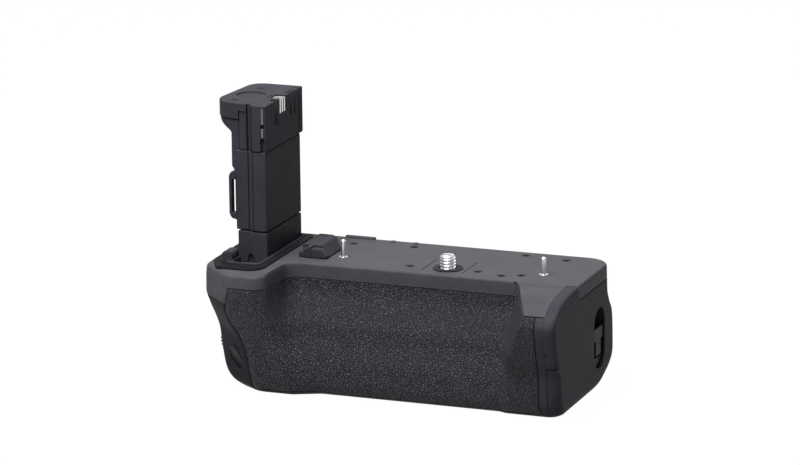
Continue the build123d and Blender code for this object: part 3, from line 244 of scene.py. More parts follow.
# Turned or plated metal
metalGrain = Look(cloudScale=300.0, fineScale=2600.0, strength=0.12, depth=0.02)
metalLooks = lookTable("dark light roughness roughnessSpread edge", (
    ("brightSteel", (0.62, 0.62, 0.63), (0.74, 0.74, 0.75), 0.3, 0.1, 0.12),
    ("frameMetal", (0.40, 0.41, 0.42), (0.52, 0.53, 0.54), 0.42, 0.12, 0.15),
    ("dullSteel", (0.12, 0.12, 0.13), (0.20, 0.20, 0.21), 0.45, 0.1, 0.1),
    ("contactMetal", (0.56, 0.55, 0.53), (0.72, 0.71, 0.68), 0.3, 0.12, 0.1)))


def plainMetal(name, look):
    finish, grain = Finish(name), metalGrain
    cloud = finish.noise(grain.cloudScale)
    fine = finish.noise(grain.fineScale, detail=2.0)
    return finish.surface({
        "Base Color": finish.mixed(cloud, look), "Metallic": 1.0,
        "Roughness": look.roughness + (cloud - 0.5) * look.roughnessSpread,
        "Normal": finish.bump(fine, grain.strength, grain.depth, finish.bevel(look.edge))})


# Polished black plastic of the shutter button
polishedLook = Look(
    dark=(0.006, 0.006, 0.007), light=(0.011, 0.011, 0.012), cloudScale=160.0, roughness=0.35,
    roughnessSpread=0.05, gloss=0.04)


def polishedBlack(name, look):
    finish = Finish(name)
    cloud = finish.noise(look.cloudScale, detail=2.0, roughness=0.5)
    return finish.surface({
        "Base Color": finish.mixed(cloud, look), "Specular IOR Level": look.gloss,
        "Roughness": look.roughness + cloud * look.roughnessSpread})


finishes = {name: mouldedPlastic(name, look) for name, look in plasticLooks.items()}
finishes.update({name: plainMetal(name, look) for name, look in metalLooks.items()})
finishes["leatherRubber"] = leatherRubber("leatherRubber", leatherLook)
finishes["polishedBlack"] = polishedBlack("polishedBlack", polishedLook)
print("finishes made:", len(finishes))


# Meshes
def evaluated(piece):
    # the mesh with the piece's modifiers applied
    graph = bpy.context.evaluated_depsgraph_get()
    return bpy.data.meshes.new_from_object(piece.evaluated_get(graph))


def dress(piece, finishName, replaced=None, body="housing"):
    # weighted normals keep the large flat faces even beside a cut
    piece.modifiers.new("fair", "WEIGHTED_NORMAL").keep_sharp = True
    piece.data = evaluated(piece)
    piece.modifiers.clear()
    piece.data.materials.clear()
    piece.data.materials.append(finishes[finishName])
    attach(piece, body)
    if replaced:
        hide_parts(replaced)


def newPiece(name, points, faces):
    mesh = bpy.data.meshes.new(name)
    mesh.from_pydata([tuple(point) for point in points], [], faces)
    mesh.update()
    return linked(name, mesh)


def settled(piece, angle=35.0):
    # keeps the mesh that the modifiers make, and shades it smooth up to an angle
    piece.data = evaluated(piece)
    piece.modifiers.clear()
    piece.data.name = piece.name
    piece.data.shade_smooth()
    piece.data.set_sharp_from_angle(angle=math.radians(angle))
    return piece


def bevelled(piece, width, segments=2, angle=40.0, clamped=False):
    bevel = piece.modifiers.new("edges", "BEVEL")
    bevel.width = width * mm
    bevel.segments = segments
    bevel.limit_method = "ANGLE"
    bevel.angle_limit = math.radians(angle)
    bevel.use_clamp_overlap = clamped
    bevel.miter_outer = "MITER_ARC"
    return piece


def rounded(piece, edge, segments=3, angle=40.0):
    return settled(bevelled(piece, edge, segments, angle))


# Body surface: outlines at any height, on smooth curves through shares of the sizes at eleven levels
bodySizes = Look(
    left=95.0, right=58.0, height=48.8, bulge=37.2, middle=32.0, rear=40.0,
    corners=(12.0, 6.5, 9.0, 5.5, 6.0), frontHeights=(0, -5.0, -9.0, -27.0, -31.0, -48.8),
    frontCorners=(1.2, 1.4, 2.3, 2.4, 4.4, 4.4), rearHeights=(0, -36.0, -39.3, -42.4, -45.6, -48.8),
    rearCorners=(9.0, 6.5, 7.0, 10.0, 16.0, 21.0), arcSteps=12, outlineSteps=1100,
    levels=(0, 0.03, 0.12, 0.225, 0.33, 0.43, 0.53, 0.74, 0.88, 0.95, 1))
bodyShares = {
    "left": (1.0, 1.014, 1.018, 1.018, 1.0, 0.975, 0.958, 0.945, 0.92, 0.888, 0.83),
    "panelBack": (0.565, 0.575, 0.578, 0.58, 0.585, 0.59, 0.59, 0.59, 0.645, 0.67, 0.70),
    "panelSide": (0.86, 0.86, 0.86, 0.86, 0.85, 0.83, 0.79, 0.757, 0.742, 0.735, 0.726),
    "bulge": (0.90, 0.95, 0.965, 0.985, 0.99, 0.995, 1, 0.995, 0.975, 0.95, 0.885),
    "wallFront": (0.70, 0.698, 0.695, 0.69, 0.683, 0.674, 0.658, 0.61, 0.59, 0.583, 0.58),
    "wallBack": (0.68, 0.677, 0.674, 0.663, 0.64, 0.61, 0.59, 0.505, 0.474, 0.466, 0.463),
    "middle": (0.32, 0.323, 0.325, 0.375, 0.57, 0.75, 0.81, 0.98, 1, 0.975, 0.875),
    "rear": (0.86, 0.86, 0.86, 0.86, 0.91, 0.985, 1, 1, 0.95, 0.90, 0.825),
    "right": (0.995, 1, 1, 1, 1, 1, 1, 1, 1, 0.997, 0.98)}
shoulderLook = Look(
    heights=(0, -1.07, -4.4, -7.4, -10.3, -16.7, -23.2, -32.2, -40.8, -45.5, -48.8),
    reaches=(13.1, 25.0, 34.0, 38.4, 39.6, 38.6, 36.9, 34.0, 32.3, 30.0, 27.4),
    ridgeX=(32.3, 34.1, 39.2, 43.9, 45.2), ridgeY=(0, 11.1, 24.2, 34.9, 39.7),
    lean=0.4, leanTop=6.0, leanMost=7.0, ridgeRound=4.0, footRound=7.0, steepness=6,
    fromX=-20)


def smoothCurve(xs, ys, x):
    # monotone cubic through the points, so that no bump appears between two of them
    xs, ys, x = np.asarray(xs, float), np.asarray(ys, float), np.asarray(x, float)
    steps = np.diff(xs)
    slopes = np.diff(ys) / steps
    tangents = np.zeros(len(xs))
    for i in range(1, len(xs) - 1):
        if slopes[i - 1] * slopes[i] > 0:
            first, second = 2 * steps[i] + steps[i - 1], steps[i] + 2 * steps[i - 1]
            tangents[i] = (first + second) / (first / slopes[i - 1] + second / slopes[i])
    tangents[0], tangents[-1] = slopes[0], slopes[-1]
    spot = np.clip(np.searchsorted(xs, x) - 1, 0, len(xs) - 2)
    share = (x - xs[spot]) / steps[spot]
    rise, square, cube = steps[spot], share ** 2, share ** 3
    return (
        (2 * cube - 3 * square + 1) * ys[spot] + (cube - 2 * square + share) * rise * tangents[spot]
        + (3 * square - 2 * cube) * ys[spot + 1] + (cube - square) * rise * tangents[spot + 1])


def curveAt(heights, values, z):
    # heights go down from 0, so the curve runs over their opposites
    return float(smoothCurve([-height for height in heights], values, -z))


def levelValue(name, z):
    share = min(max(-z / bodySizes.height, 0.0), 1.0)
    return float(smoothCurve(bodySizes.levels, bodyShares[name], share))


def softLarger(first, second, blend):
    near = np.clip(blend - np.abs(first - second), 0, None) / blend
    return np.maximum(first, second) + near ** 2 * blend / 4


def softSmaller(first, second, blend):
    return -softLarger(-first, -second, blend)


def shoulderReach(x, z):
    look = shoulderLook
    side = curveAt(look.heights, look.reaches, z)
    leaning = x + min(max(-z - look.leanTop, 0.0) * look.lean, look.leanMost)
    wall = np.interp(leaning, look.ridgeX, look.ridgeY)
    past, ahead = leaning - look.ridgeX[-1], leaning - look.ridgeX[0]
    wall = np.where(past > 0, look.ridgeY[-1] + past * look.steepness, wall)
    wall = np.where(ahead < 0, ahead * look.steepness, wall)
    return softSmaller(wall, np.full_like(wall, side), look.ridgeRound)


straightest = 1.56  # half the angle of a corner, in radians, past which it needs no arc


def cornerArc(before, here, after, radius, steps):
    # points of the arc that rounds one corner of an outline
    here = np.asarray(here, float)
    toBefore, toAfter = np.asarray(before, float) - here, np.asarray(after, float) - here
    toBefore, toAfter = toBefore / np.linalg.norm(toBefore), toAfter / np.linalg.norm(toAfter)
    half = math.acos(max(-1.0, min(1.0, float(toBefore @ toAfter)))) / 2
    if radius <= 0 or half > straightest:
        return [here]
    back, sweep = radius / math.tan(half), math.pi - 2 * half
    middleWay = toBefore + toAfter
    centre = here + middleWay / np.linalg.norm(middleWay) * radius / math.sin(half)
    start, end = here + toBefore * back, here + toAfter * back
    return [
        centre + ((start - centre) * math.sin((1 - share) * sweep) + (end - centre) * math.sin(share * sweep))
        / math.sin(sweep) for share in np.linspace(0, 1, steps + 1)]


def roundedOutline(corners, radii, steps=6):
    points = []
    for index, radius in enumerate(radii):
        points += cornerArc(
            corners[index - 1], corners[index], corners[(index + 1) % len(corners)], radius, steps)
    return [tuple(point) for point in points]


def lengthsAlong(points):
    return np.concatenate([[0], np.cumsum(np.linalg.norm(np.diff(points, axis=0), axis=1))])


def pointsAt(points, lengths, places):
    return np.column_stack([np.interp(places, lengths, points[:, axis]) for axis in (0, 1)])


def evenly(points, count):
    lengths = lengthsAlong(points)
    return pointsAt(points, lengths, np.linspace(0, lengths[-1], count))


def outlineAt(z, inset=0.0):
    # the body's outline at one height, counter-clockwise from the rear left corner
    sizes = bodySizes
    left, right, rear, bulge, middle = (
        sizes[name] * levelValue(name, z) - inset for name in ("left", "right", "rear", "bulge", "middle"))
    panelSide, wallFront, wallBack = (
        sizes.left * levelValue(name, z) for name in ("panelSide", "wallFront", "wallBack"))
    corners = np.array([
        (-left, rear), (-left, -sizes.bulge * levelValue("panelBack", z)), (-panelSide, -bulge),
        (-wallFront, -bulge), (-wallBack, -middle), (right, -middle), (right, rear)])
    rightRound = curveAt(sizes.frontHeights, sizes.frontCorners, z)
    rearRound = curveAt(sizes.rearHeights, sizes.rearCorners, z)
    points = roundedOutline(corners, sizes.corners + (rightRound, rearRound), sizes.arcSteps)
    points = evenly(np.array(points + [points[0]]), sizes.outlineSteps)
    # the right shoulder stands forward of the middle
    front = (points[:, 0] > shoulderLook.fromX) & (points[:, 1] < 0) & (points[:, 0] < right - 0.01)
    reach = shoulderReach(points[:, 0], z) - inset
    points[front, 1] = -softLarger(-points[front, 1], reach[front], shoulderLook.footRound)
    # and turns round to the right end
    turn = front & (points[:, 0] > right - rightRound)
    across = np.clip(points[turn, 0] - (right - rightRound), 0, rightRound)
    points[turn, 1] = points[turn, 1] + rightRound - np.sqrt(rightRound ** 2 - across ** 2)
    return evenly(points, sizes.outlineSteps)


runEnds = Look(leftX=-60, leftY=25.0, rightX=40, rightY=20.0)


def frontRun(z, inset=0.0):
    # the part of the outline from the left side's middle round the front to the right side, as a chain
    points, ends = outlineAt(z, inset), runEnds
    start = int(np.argmax((points[:, 1] < ends.leftY) & (points[:, 0] < ends.leftX)))
    back = points[::-1]
    end = len(points) - 1 - int(np.argmax((back[:, 1] < ends.rightY) & (back[:, 0] > ends.rightX)))
    return points[start:end + 1]


print("body surface ready")


# Where the leather ends, and where it meets the smooth left panel at each height
seamLook = Look(
    heights=(-5.9, -14.8, -19.8, -23.8, -28.2, -33.5, -38.8, -46.7, -48.8),
    places=(-80.75, -82.2, -80.0, -76.6, -74.3, -72.7, -72.0, -71.0, -70.8),
    gap=0.15, bandDepth=5.9, endBandDepth=13.0, leatherRight=50.0, endSeam=53.5,
    leatherLow=46.9)


def seamX(z):
    return curveAt(seamLook.heights, seamLook.places, z)


def crossing(run, axis, value, rising):
    # the index with its share where the chain passes a value of x or y for the first time
    column = run[:, axis] if rising else -run[:, axis]
    limit = value if rising else -value
    index = int(np.argmax(column >= limit))
    if index == 0:
        return 0.0
    low, high = column[index - 1], column[index]
    return index - 1 + (limit - low) / max(high - low, 1e-9)


def between(run, start, end, count):
    # evenly spaced points of the chain from one index share to another
    lengths = lengthsAlong(run)
    first, last = np.interp([start, end], np.arange(len(run)), lengths)
    return pointsAt(run, lengths, np.linspace(first, last, count))


def gridFaces(rows, columns, closed=False):
    faces = []
    for row in range(rows - 1):
        for column in range(columns if closed else columns - 1):
            after = (column + 1) % columns
            faces.append((
                row * columns + column, (row + 1) * columns + column, (row + 1) * columns + after,
                row * columns + after))
    return faces


def skinPiece(name, rows, look, angle=35.0):
    # rows of (x, y, z) in millimetres become a wall, with rounded rims if it has an edge
    piece = newPiece(name, np.concatenate(rows) * mm, gridFaces(len(rows), len(rows[0])))
    piece.modifiers.new("wall", "SOLIDIFY").thickness = look.wall * mm
    if look.edge:
        bevelled(piece, look.edge, angle=60.0, clamped=look.get("clamped", False))
    return settled(piece, angle)


def withHeight(points, z):
    return np.column_stack([points, np.full(len(points), z)])


lowEdge = Look(rounding=1.0, arcSteps=5, flangeStart=1.4, flangeRows=6)


def lowerRows(start, count, flange):
    # heights and insets from a seam down to the underside, with a rounded bottom edge
    low, rounding, steps = -bodySizes.height, lowEdge.rounding, lowEdge.arcSteps
    rows = [(z, 0.0) for z in np.linspace(start, low + rounding, count)]
    for step in range(1, steps + 1):
        angle = math.pi / 2 * step / steps
        rows.append((low + rounding - rounding * math.sin(angle), rounding * (1 - math.cos(angle))))
    insets = np.linspace(lowEdge.flangeStart, flange, lowEdge.flangeRows)
    return rows + [(low, inset) for inset in insets]


def wallRows(levels, ends, columns):
    # ends gives the chain at a height and an inset, and where the wall starts and stops on it
    rows = []
    for z, inset in levels:
        run, start, stop = ends(z, inset)
        rows.append(withHeight(between(run, start, stop, columns), z))
    return rows


def frontRows(levels, startX, endX, columns):
    # rows of the front from startX, which follows the height, to endX
    def ends(z, inset):
        run = frontRun(z, inset)
        return run, crossing(run, 0, startX(z), True), crossing(run, 0, endX, True)

    return wallRows(levels, ends, columns)


frontLooks = {
    "leather": Look(wall=0.8, edge=0.3, rows=84, columns=330),
    "under": Look(wall=0.8, edge=0, rows=60, columns=220, inset=1.0, past=0.6),
    "strip": Look(wall=1.6, edge=0.25, clamped=True, rows=70, columns=12, flange=2.6),
    "lip": Look(wall=0.9, edge=0, rows=4, columns=260, flange=1.9, past=0.5, below=0.2)}


def makeLeather():
    look, gap = frontLooks["leather"], seamLook.gap
    levels = [(z, 0.0) for z in np.linspace(-seamLook.bandDepth - gap, -seamLook.leatherLow, look.rows)]
    rows = frontRows(levels, lambda z: seamX(z) + gap, seamLook.leatherRight - gap, look.columns)
    dress(skinPiece("gripLeather", rows, look, 60.0), "leatherRubber", "grip_leather")


def makeFrontCover():
    gap, right = seamLook.gap, seamLook.leatherRight
    under, strip, lip = (frontLooks[name] for name in ("under", "strip", "lip"))
    high, low = -seamLook.bandDepth - gap, -seamLook.leatherLow
    levels = [(z, under.inset) for z in np.linspace(high, low + 1, under.rows)]
    underRows = frontRows(levels, lambda z: seamX(z) + under.inset, right + under.past, under.columns)
    levels = lowerRows(high, strip.rows, strip.flange)
    stripRows = frontRows(levels, lambda z: right + gap, seamLook.endSeam, strip.columns)
    levels = lowerRows(low - lip.below, lip.rows, lip.flange)
    lipRows = frontRows(levels, lambda z: seamX(z) + gap, right + lip.past, lip.columns)
    pieces = [
        skinPiece("frontWall", rows, look)
        for rows, look in ((underRows, under), (stripRows, strip), (lipRows, lip))]
    dress(joined("frontCover", pieces), "coverPlastic", "front_cover")


def joined(name, pieces):
    # several plain meshes become one
    whole = bmesh.new()
    for piece in pieces:
        whole.from_mesh(piece.data)
        bpy.data.objects.remove(piece)
    mesh = bpy.data.meshes.new(name)
    whole.to_mesh(mesh)
    whole.free()
    return linked(name, mesh)


def cutBy(piece, cutters, operation="DIFFERENCE", angle=35.0):
    # a cutter is a closed mesh, used once
    for index, cutter in enumerate(cutters):
        cut = piece.modifiers.new(f"cut{index}", "BOOLEAN")
        cut.operation = operation
        cut.object = cutter
        cut.solver = "MANIFOLD"
    settled(piece, angle)
    for cutter in cutters:
        bpy.data.objects.remove(cutter)
    return piece


def betweenRings(points, name="cutter"):
    # a closed mesh between two rings of the same number of points
    count = len(points) // 2
    faces = [(i, (i + 1) % count, count + (i + 1) % count, count + i) for i in range(count)]
    faces += [tuple(reversed(range(count))), tuple(range(count, 2 * count))]
    return newPiece(name, points, faces)


def roundCutter(start, radius, length, sides=48, direction=(0, 0, 1)):
    turn = Vector(direction).normalized().to_track_quat("Z", "Y").to_matrix()
    angles = [2 * math.pi * side / sides for side in range(sides)]
    return betweenRings([
        (Vector(start) + turn @ Vector((radius * math.cos(angle), radius * math.sin(angle), rise))) * mm
        for rise in (0.0, length) for angle in angles])


def outward(piece):
    mesh = bmesh.new()
    mesh.from_mesh(piece.data)
    bmesh.ops.recalc_face_normals(mesh, faces=mesh.faces)
    mesh.to_mesh(piece.data)
    mesh.free()
    return piece


def prism(outline, axis, low, high, name="cutter"):
    # a closed outline pulled along one axis: x takes (y, z), y takes (x, z) and z takes (x, y)
    order = {"x": (2, 0, 1), "y": (0, 2, 1), "z": (0, 1, 2)}[axis]
    points = [(a, b, along) for along in (low, high) for a, b in outline]
    return outward(betweenRings([Vector([point[i] for i in order]) * mm for point in points], name))


def boxCutter(low, high):
    corners = [(x, y, z) for x in (low[0], high[0]) for y in (low[1], high[1]) for z in (low[2], high[2])]
    faces = [(0, 1, 3, 2), (4, 6, 7, 5), (0, 4, 5, 1), (2, 3, 7, 6), (0, 2, 6, 4), (1, 5, 7, 3)]
    return newPiece("cutter", [Vector(corner) * mm for corner in corners], faces)


panelLook = Look(
    splitY=2.0, splitGap=0.1, topGap=0.2, rows=76, columns=120, wall=1.6, edge=0.25,
    flange=3.4, shutterSpot=(-79.9, -29.8, -36.0), shutterAxis=(-0.62032, -0.72037, -0.31016),
    ringRadius=5.05, ringBehind=8, ringLength=20, dialX=-81.9, dialY=-17.0, dialZ=-32.0,
    dialRadius=9.3, dialHalf=3.3, functionSpot=(-96, -6.0, -30.0), functionRadius=2.65,
    functionLength=12)


def makePanel():
    look = panelLook

    def ends(z, inset):
        run = frontRun(z, inset)
        end = crossing(run, 0, seamX(z) - seamLook.gap, True)
        return run, crossing(run, 1, look.splitY - look.splitGap, False), end

    levels = lowerRows(-seamLook.endBandDepth - look.topGap, look.rows, look.flange)
    piece = skinPiece("controlPanel", wallRows(levels, ends, look.columns), look)
    axis = Vector(look.shutterAxis)
    start = Vector(look.shutterSpot) - axis * look.ringBehind
    dialStart = (look.dialX, look.dialY - look.dialHalf, look.dialZ)
    cutBy(piece, [
        roundCutter(start, look.ringRadius, look.ringLength, direction=axis),
        roundCutter(dialStart, look.dialRadius, 2 * look.dialHalf, sides=64, direction=(0, 1, 0)),
        roundCutter(look.functionSpot, look.functionRadius, look.functionLength, direction=(1, 0, 0))])
    # the panel's finish is the cover plastic painted darker, as painted shade
    dress(piece, "panelPlastic", "control_panel")


# A box between its low and high corners, or an outline pulled along y, with its edges rounded
def roundedPart(low, high, edge, segments, angle=40.0, outline=None):
    piece = boxCutter(low, high) if outline is None else prism(outline, "y", low, high)
    return rounded(piece, edge, segments, angle)


# Left part of the upper rim, from the leather's seam round to the rear
bandLook = Look(rearX=-82.1, skipped=40, overlap=0.02, rows=20, columns=200, wall=1.6, edge=0.2)


def endBand():
    look, rows = bandLook, []
    for z in np.linspace(-seamLook.bandDepth + look.overlap, -seamLook.endBandDepth, look.rows):
        points = outlineAt(z)
        run = np.concatenate([points[-2:-1], points])
        first = crossing(run, 0, look.rearX, False) if points[0, 0] > look.rearX else 0.0
        last = crossing(run[look.skipped:], 0, seamX(z) - seamLook.gap, True) + look.skipped
        rows.append(withHeight(between(run, first, last, look.columns), z))
    return skinPiece("endBand", rows, look)


deckLook = Look(
    edge=0.7, edgeSteps=5, wall=1.6, rimStart=0.15, rimRows=26, holeLow=-5, holeLength=10, cutTop=2,
    wellSteps=6, bushRadius=6.0, pinRadius=1.3, pinX=(-46.0, 39.6), pinY=2.7, screwHead=1.75,
    screwDepth=0.75, screwSpots=(
        (-50.0, 24.3), (-24.7, 27.2), (-15.7, -1.1), (13.0, -0.8), (24.0, -3.6), (31.4, -0.7), (22.9, 28.9),
        (41.0, 26.7)),
    grooves=((-9.5, -9.1, -5.0, 12.0), (7.8, 8.2, -5.0, 12.0)), grooveDepth=0.25,
    crease=((-11.0, 0.3), (-12.4, -0.75), (-15.2, 0.3)), creaseX=(30.0, 53.0),
    wheelSlot=((-11.4, 21.5, -7), (11.4, 60, -1.9)), pocket=2.9, pocketOverlap=0.5,
    tab=dict(low=(-57.0, 32.4, -0.5), high=(-44.0, 34.4, 0.9), edge=0.4, segments=3),
    nubs=((-35.8, 32.1), (-25.8, 32.1)), nubRadius=1.2, nubHeight=0.75, nubSink=0.3, nubEdge=0.3,
    flapOutline=(
        (-15.8, 15), (-56, 15), (-56, -27.5), (-29, -26.8), (-19.1, -25.6), (-10.4, -23.4), (-6.3, -21.4),
        (-4.7, -19.6), (-4.7, -9.4), (-6.3, -7.9)), flapEnd=75)


def deckCutters(look):
    cutters = [
        roundCutter((0, 0, look.holeLow), look.bushRadius, look.holeLength, sides=64),
        prism(look.flapOutline, "x", seamLook.endSeam, look.flapEnd),
        prism(wellOutline(0, look.wellSteps), "z", -look.pocket - look.cutTop, 9),
        prism(look.crease, "x", *look.creaseX), boxCutter(*look.wheelSlot)]
    holes = [((x, look.pinY, look.holeLow), look.pinRadius) for x in look.pinX]
    holes += [((*spot, -look.screwDepth), look.screwHead) for spot in look.screwSpots]
    cutters += [roundCutter(spot, radius, look.holeLength, sides=32) for spot, radius in holes]
    return cutters + [
        boxCutter((x0, y0, -look.grooveDepth), (x1, y1, look.cutTop)) for x0, x1, y0, y1 in look.grooves]


def makeTopCover():
    look = deckLook
    edge, wall, levels = look.edge, look.wall, []
    for step in range(look.edgeSteps + 1):
        angle = math.pi / 2 * step / look.edgeSteps
        levels.append((-edge * (1 - math.cos(angle)), edge * (1 - math.sin(angle))))
    low = -seamLook.bandDepth
    levels += [(z, 0.0) for z in np.linspace(-edge - look.rimStart, low, look.rimRows)]
    levels += [(low, wall), (-wall, wall)]
    outlines = [withHeight(outlineAt(z, inset)[:-1], z) for z, inset in levels]
    count = len(outlines[0])
    faces = gridFaces(len(outlines), count, True)
    faces.append(tuple(range(count)))
    faces.append(tuple(reversed(range((len(outlines) - 1) * count, len(outlines) * count))))
    piece = newPiece("topCover", np.concatenate(outlines) * mm, faces)
    cutBy(piece, deckCutters(look), angle=32.0)
    band = endBand()
    floorOutline = wellOutline(-look.pocketOverlap, look.wellSteps)
    floor = settled(prism(floorOutline, "z", -look.pocket - 1, -look.pocket))
    nubs = [
        rounded(roundCutter((*spot, -look.nubSink), look.nubRadius, look.nubHeight, sides=32), look.nubEdge)
        for spot in look.nubs]
    whole = joined("topCover", [piece, band, roundedPart(**look.tab), floor] + nubs)
    dress(whole, "deckPlastic", "top_cover")


# Right end: the magazine's cover, its key recess and the flap of the network port
endLook = Look(
    front=53.65, wall=1.3, edge=0.22, top=-6.25, rows=64, columns=200, flange=1.75,
    inner=50, outer=64, keyY=17.6, keyHigh=-15.6, keyLow=-41.0, keyHalf=6.8,
    keyFloor=53.2, cupWall=1.1, cupEnd=57.4, flapProud=0.4, flapGap=0.16,
    flapCorners=((-60, -27.36), (-60, 12)), flapBack=(
        (0, -9.8), (-8.1, -6.5), (-9.5, -5.0), (-19.5, -5.0), (-21.2, -6.5), (-23.2, -10.6), (-25.3, -19.2),
        (-26.5, -29.0), (-27.2, -31.0)))


def stadium(rim=0.0, steps=14):
    # the key recess, widened by a rim
    look = endLook
    y, half = look.keyY, look.keyHalf + rim
    high, low = look.keyHigh + rim - half, look.keyLow - rim + half
    angles = [math.pi * step / steps for step in range(steps + 1)]
    return [(y + half * math.cos(angle), high + half * math.sin(angle)) for angle in angles] + [
        (y - half * math.cos(angle), low - half * math.sin(angle)) for angle in angles]


def endRun(z, inset):
    # the outline and where it goes round the right end, from the front seam to the rear seam
    points = outlineAt(z, inset)
    first = crossing(points, 0, endLook.front, True)
    start = int(math.ceil(first)) + 1
    return points, first, start + crossing(points[start:], 0, endLook.front, False)


def makeEndCover():
    look, gap, rim = endLook, endLook.flapGap, endLook.cupWall
    rows = wallRows(lowerRows(look.top, look.rows, look.flange), endRun, look.columns)
    shell = skinPiece("endShell", rows, look)
    flap = [(y + gap * 2, z - gap) for z, y in look.flapBack]
    flap = [(flap[0][0] - 5, 12), *flap, *look.flapCorners]
    cutBy(shell, [prism(outline, "x", look.inner, look.outer) for outline in (flap, stadium())])
    cup = prism(stadium(rim), "x", look.keyFloor - rim, look.cupEnd)
    cutBy(cup, [prism(stadium(), "x", look.keyFloor, look.outer)])
    dress(joined("endCover", [shell, cup]), "coverPlastic", "end_cover", body="magazine")


# The port cover's rows are heights with their insets, or the first and last of evenly spaced heights
portLook = Look(
    topRows=((-0.06, 3.9), (-0.06, 3.0), (-0.06, 2.0), (-0.06, 1.2), (-0.1, 0.6), (-0.2, 0.2), (-0.32, 0.0)),
    sideRows=((-0.5, -7.0, 34), (-7.3, -26.2, 40)), lowRows=((-26.5, 0.05), (-26.75, 0.15), (-27.0, 0.4)),
    columns=120, wall=1.3, edge=0.3, clamped=True, fallRound=1.5, fallDepth=9.0, fallFront=5.0, fallWidth=8.0,
    notch=((53.0, -41.5, -25.6), (54.6, -37.4, -20.6)))


def makePortCover():
    look, proud = portLook, endLook.flapProud
    levels = [*look.topRows]
    for spread in look.sideRows:
        levels += [(z, 0.0) for z in np.linspace(*spread)]
    depths, limits = [-z for z, y in endLook.flapBack], [y for z, y in endLook.flapBack]
    fall, rows = look.fallRound, []
    for z, inset in levels + [*look.lowRows]:
        points, first, last = endRun(z, inset - proud)
        start = int(math.ceil(first))
        stop = start + crossing(points[start:], 1, float(np.interp(-z, depths, limits)), True)
        row = withHeight(between(points, first, min(stop, last), look.columns), z)
        # the top falls away towards the right end, as far as it lies in front of the deck
        across = np.clip(row[:, 0] - (bodySizes.right + proud - fall), 0, fall)
        drop = fall - np.sqrt(fall ** 2 - across ** 2)
        upper = np.clip(1 + z / look.fallDepth, 0, 1)
        ahead = np.clip((-row[:, 1] - look.fallFront) / look.fallWidth, 0, 1)
        row[:, 2] -= drop * upper * ahead * ahead * (3 - 2 * ahead)
        rows.append(row)
    piece = skinPiece("portCover", rows, look)
    cutBy(piece, [boxCutter(*look.notch)], angle=38.0)
    dress(piece, "coverPlastic", "port_cover", body="network_cover")


# Stalk that fills the camera's battery bay
stalkLook = Look(
    baseLow=-2.85, baseTop=10.3, bodyLow=10.75, bodyTop=43.7, edge=0.45, draft=0.3,
    baseInset=0.9, baseRound=0.5, bodyRound=0.45,
    corners=((-74.2, -9.0), (-80.6, -9.0), (-82.6, -7.4), (-88.8, -7.4), (-88.8, 28.5), (-74.2, 28.5)),
    window=((-83.6, -3), (-80.3, -3), (-80.3, 0.9), (-83.6, 0.9)), windowRounds=(0.2, 0.2, 1.4, 1.4),
    windowSteps=5, windowY=(-10, -6.3),
    grooves=(((-83.05, -9, 9), (-82.45, -6.55, 46)), ((-80.45, -9.2, 9), (-80.1, -8.35, 46))))
collarLook = Look(
    low=-0.15, top=0.78, edge=0.35, rim=1.0, rimLow=-2.8, rimTop=1.15, rimEdge=0.4,
    outer=((-94.0, 31.0), (-94.0, -19.0), (-88.5, -29.6), (-69.6, -29.6), (-69.6, 31.0)),
    outerRounds=(3.0, 9.0, 6.0, 6.5, 3.0),
    inner=((-90.6, 29.4), (-90.6, -17.4), (-86.4, -21.9), (-72.6, -21.9), (-72.6, 29.4)),
    innerRounds=(1.5, 4.5, 3.0, 3.0, 1.5))


def shifted(corners, right=0.0, front=0.0, left=0.0, rear=0.0):
    # moves the sides of an outline inwards by its corners' places
    low, high = min(x for x, y in corners), max(x for x, y in corners)
    back = max(y for x, y in corners)
    return [(
        x - right if x == high else x + left if x == low else x,
        y - rear if y == back else y + front) for x, y in corners]


def wellOutline(inset, steps):
    # the outline of the well in the deck, moved inwards on every side
    return roundedOutline(
        shifted(collarLook.inner, inset, inset, inset, inset), collarLook.innerRounds, steps)


def stalkPrism(name, inset, rounding, low, high):
    look = stalkLook
    corners = shifted(look.corners, look.draft, look.draft, inset, look.draft)
    outline = roundedOutline(corners, (rounding,) * len(corners), 3)
    return rounded(prism(outline, "z", low, high, name), look.edge)


def makeStalkBase():
    look = stalkLook
    piece = stalkPrism("stalkBase", look.baseInset, look.baseRound, look.baseLow, look.baseTop)
    window = roundedOutline(look.window, look.windowRounds, look.windowSteps)
    cutBy(piece, [prism(window, "y", *look.windowY)])
    dress(piece, "stalkPlastic", "stalk_base")


# Flare below the head: its profile is pulled along y and kept inside the head's outline
flareLook = Look(
    profile=(
        (-87.05, 56.25), (-87.05, 42.8), (-88.0, 42.8), (-88.0, 34.4), (-89.3, 34.4), (-90.8, 36.6),
        (-90.8, 50.65), (-92.0, 51.65), (-93.6, 52.55), (-95.4, 53.65), (-97.2, 54.85), (-98.2, 55.75),
        (-98.5, 56.25)),
    front=-7.1, rear=28.2, insets=(0, 0.5, 0.5, 0.7), rounds=(0, 0, 0, 8.5, 6.0, 0), steps=12,
    keptFrom=30, keptTo=60, edge=0.5)


def makeStalkBody():
    look = stalkLook
    body = stalkPrism("stalkBody", look.draft, look.bodyRound, look.bodyLow, look.bodyTop)
    cutBy(body, [boxCutter(*groove) for groove in look.grooves])
    look = flareLook
    flare = prism(look.profile, "y", look.front, look.rear)
    kept = roundedOutline(shifted(headLook.corners, *look.insets), look.rounds, look.steps)
    cutBy(flare, [prism(kept, "z", look.keptFrom, look.keptTo)], "INTERSECT")
    rounded(flare, look.edge, angle=35.0)
    dress(joined("stalkBody", [body, flare]), "stalkPlastic", "stalk_body")


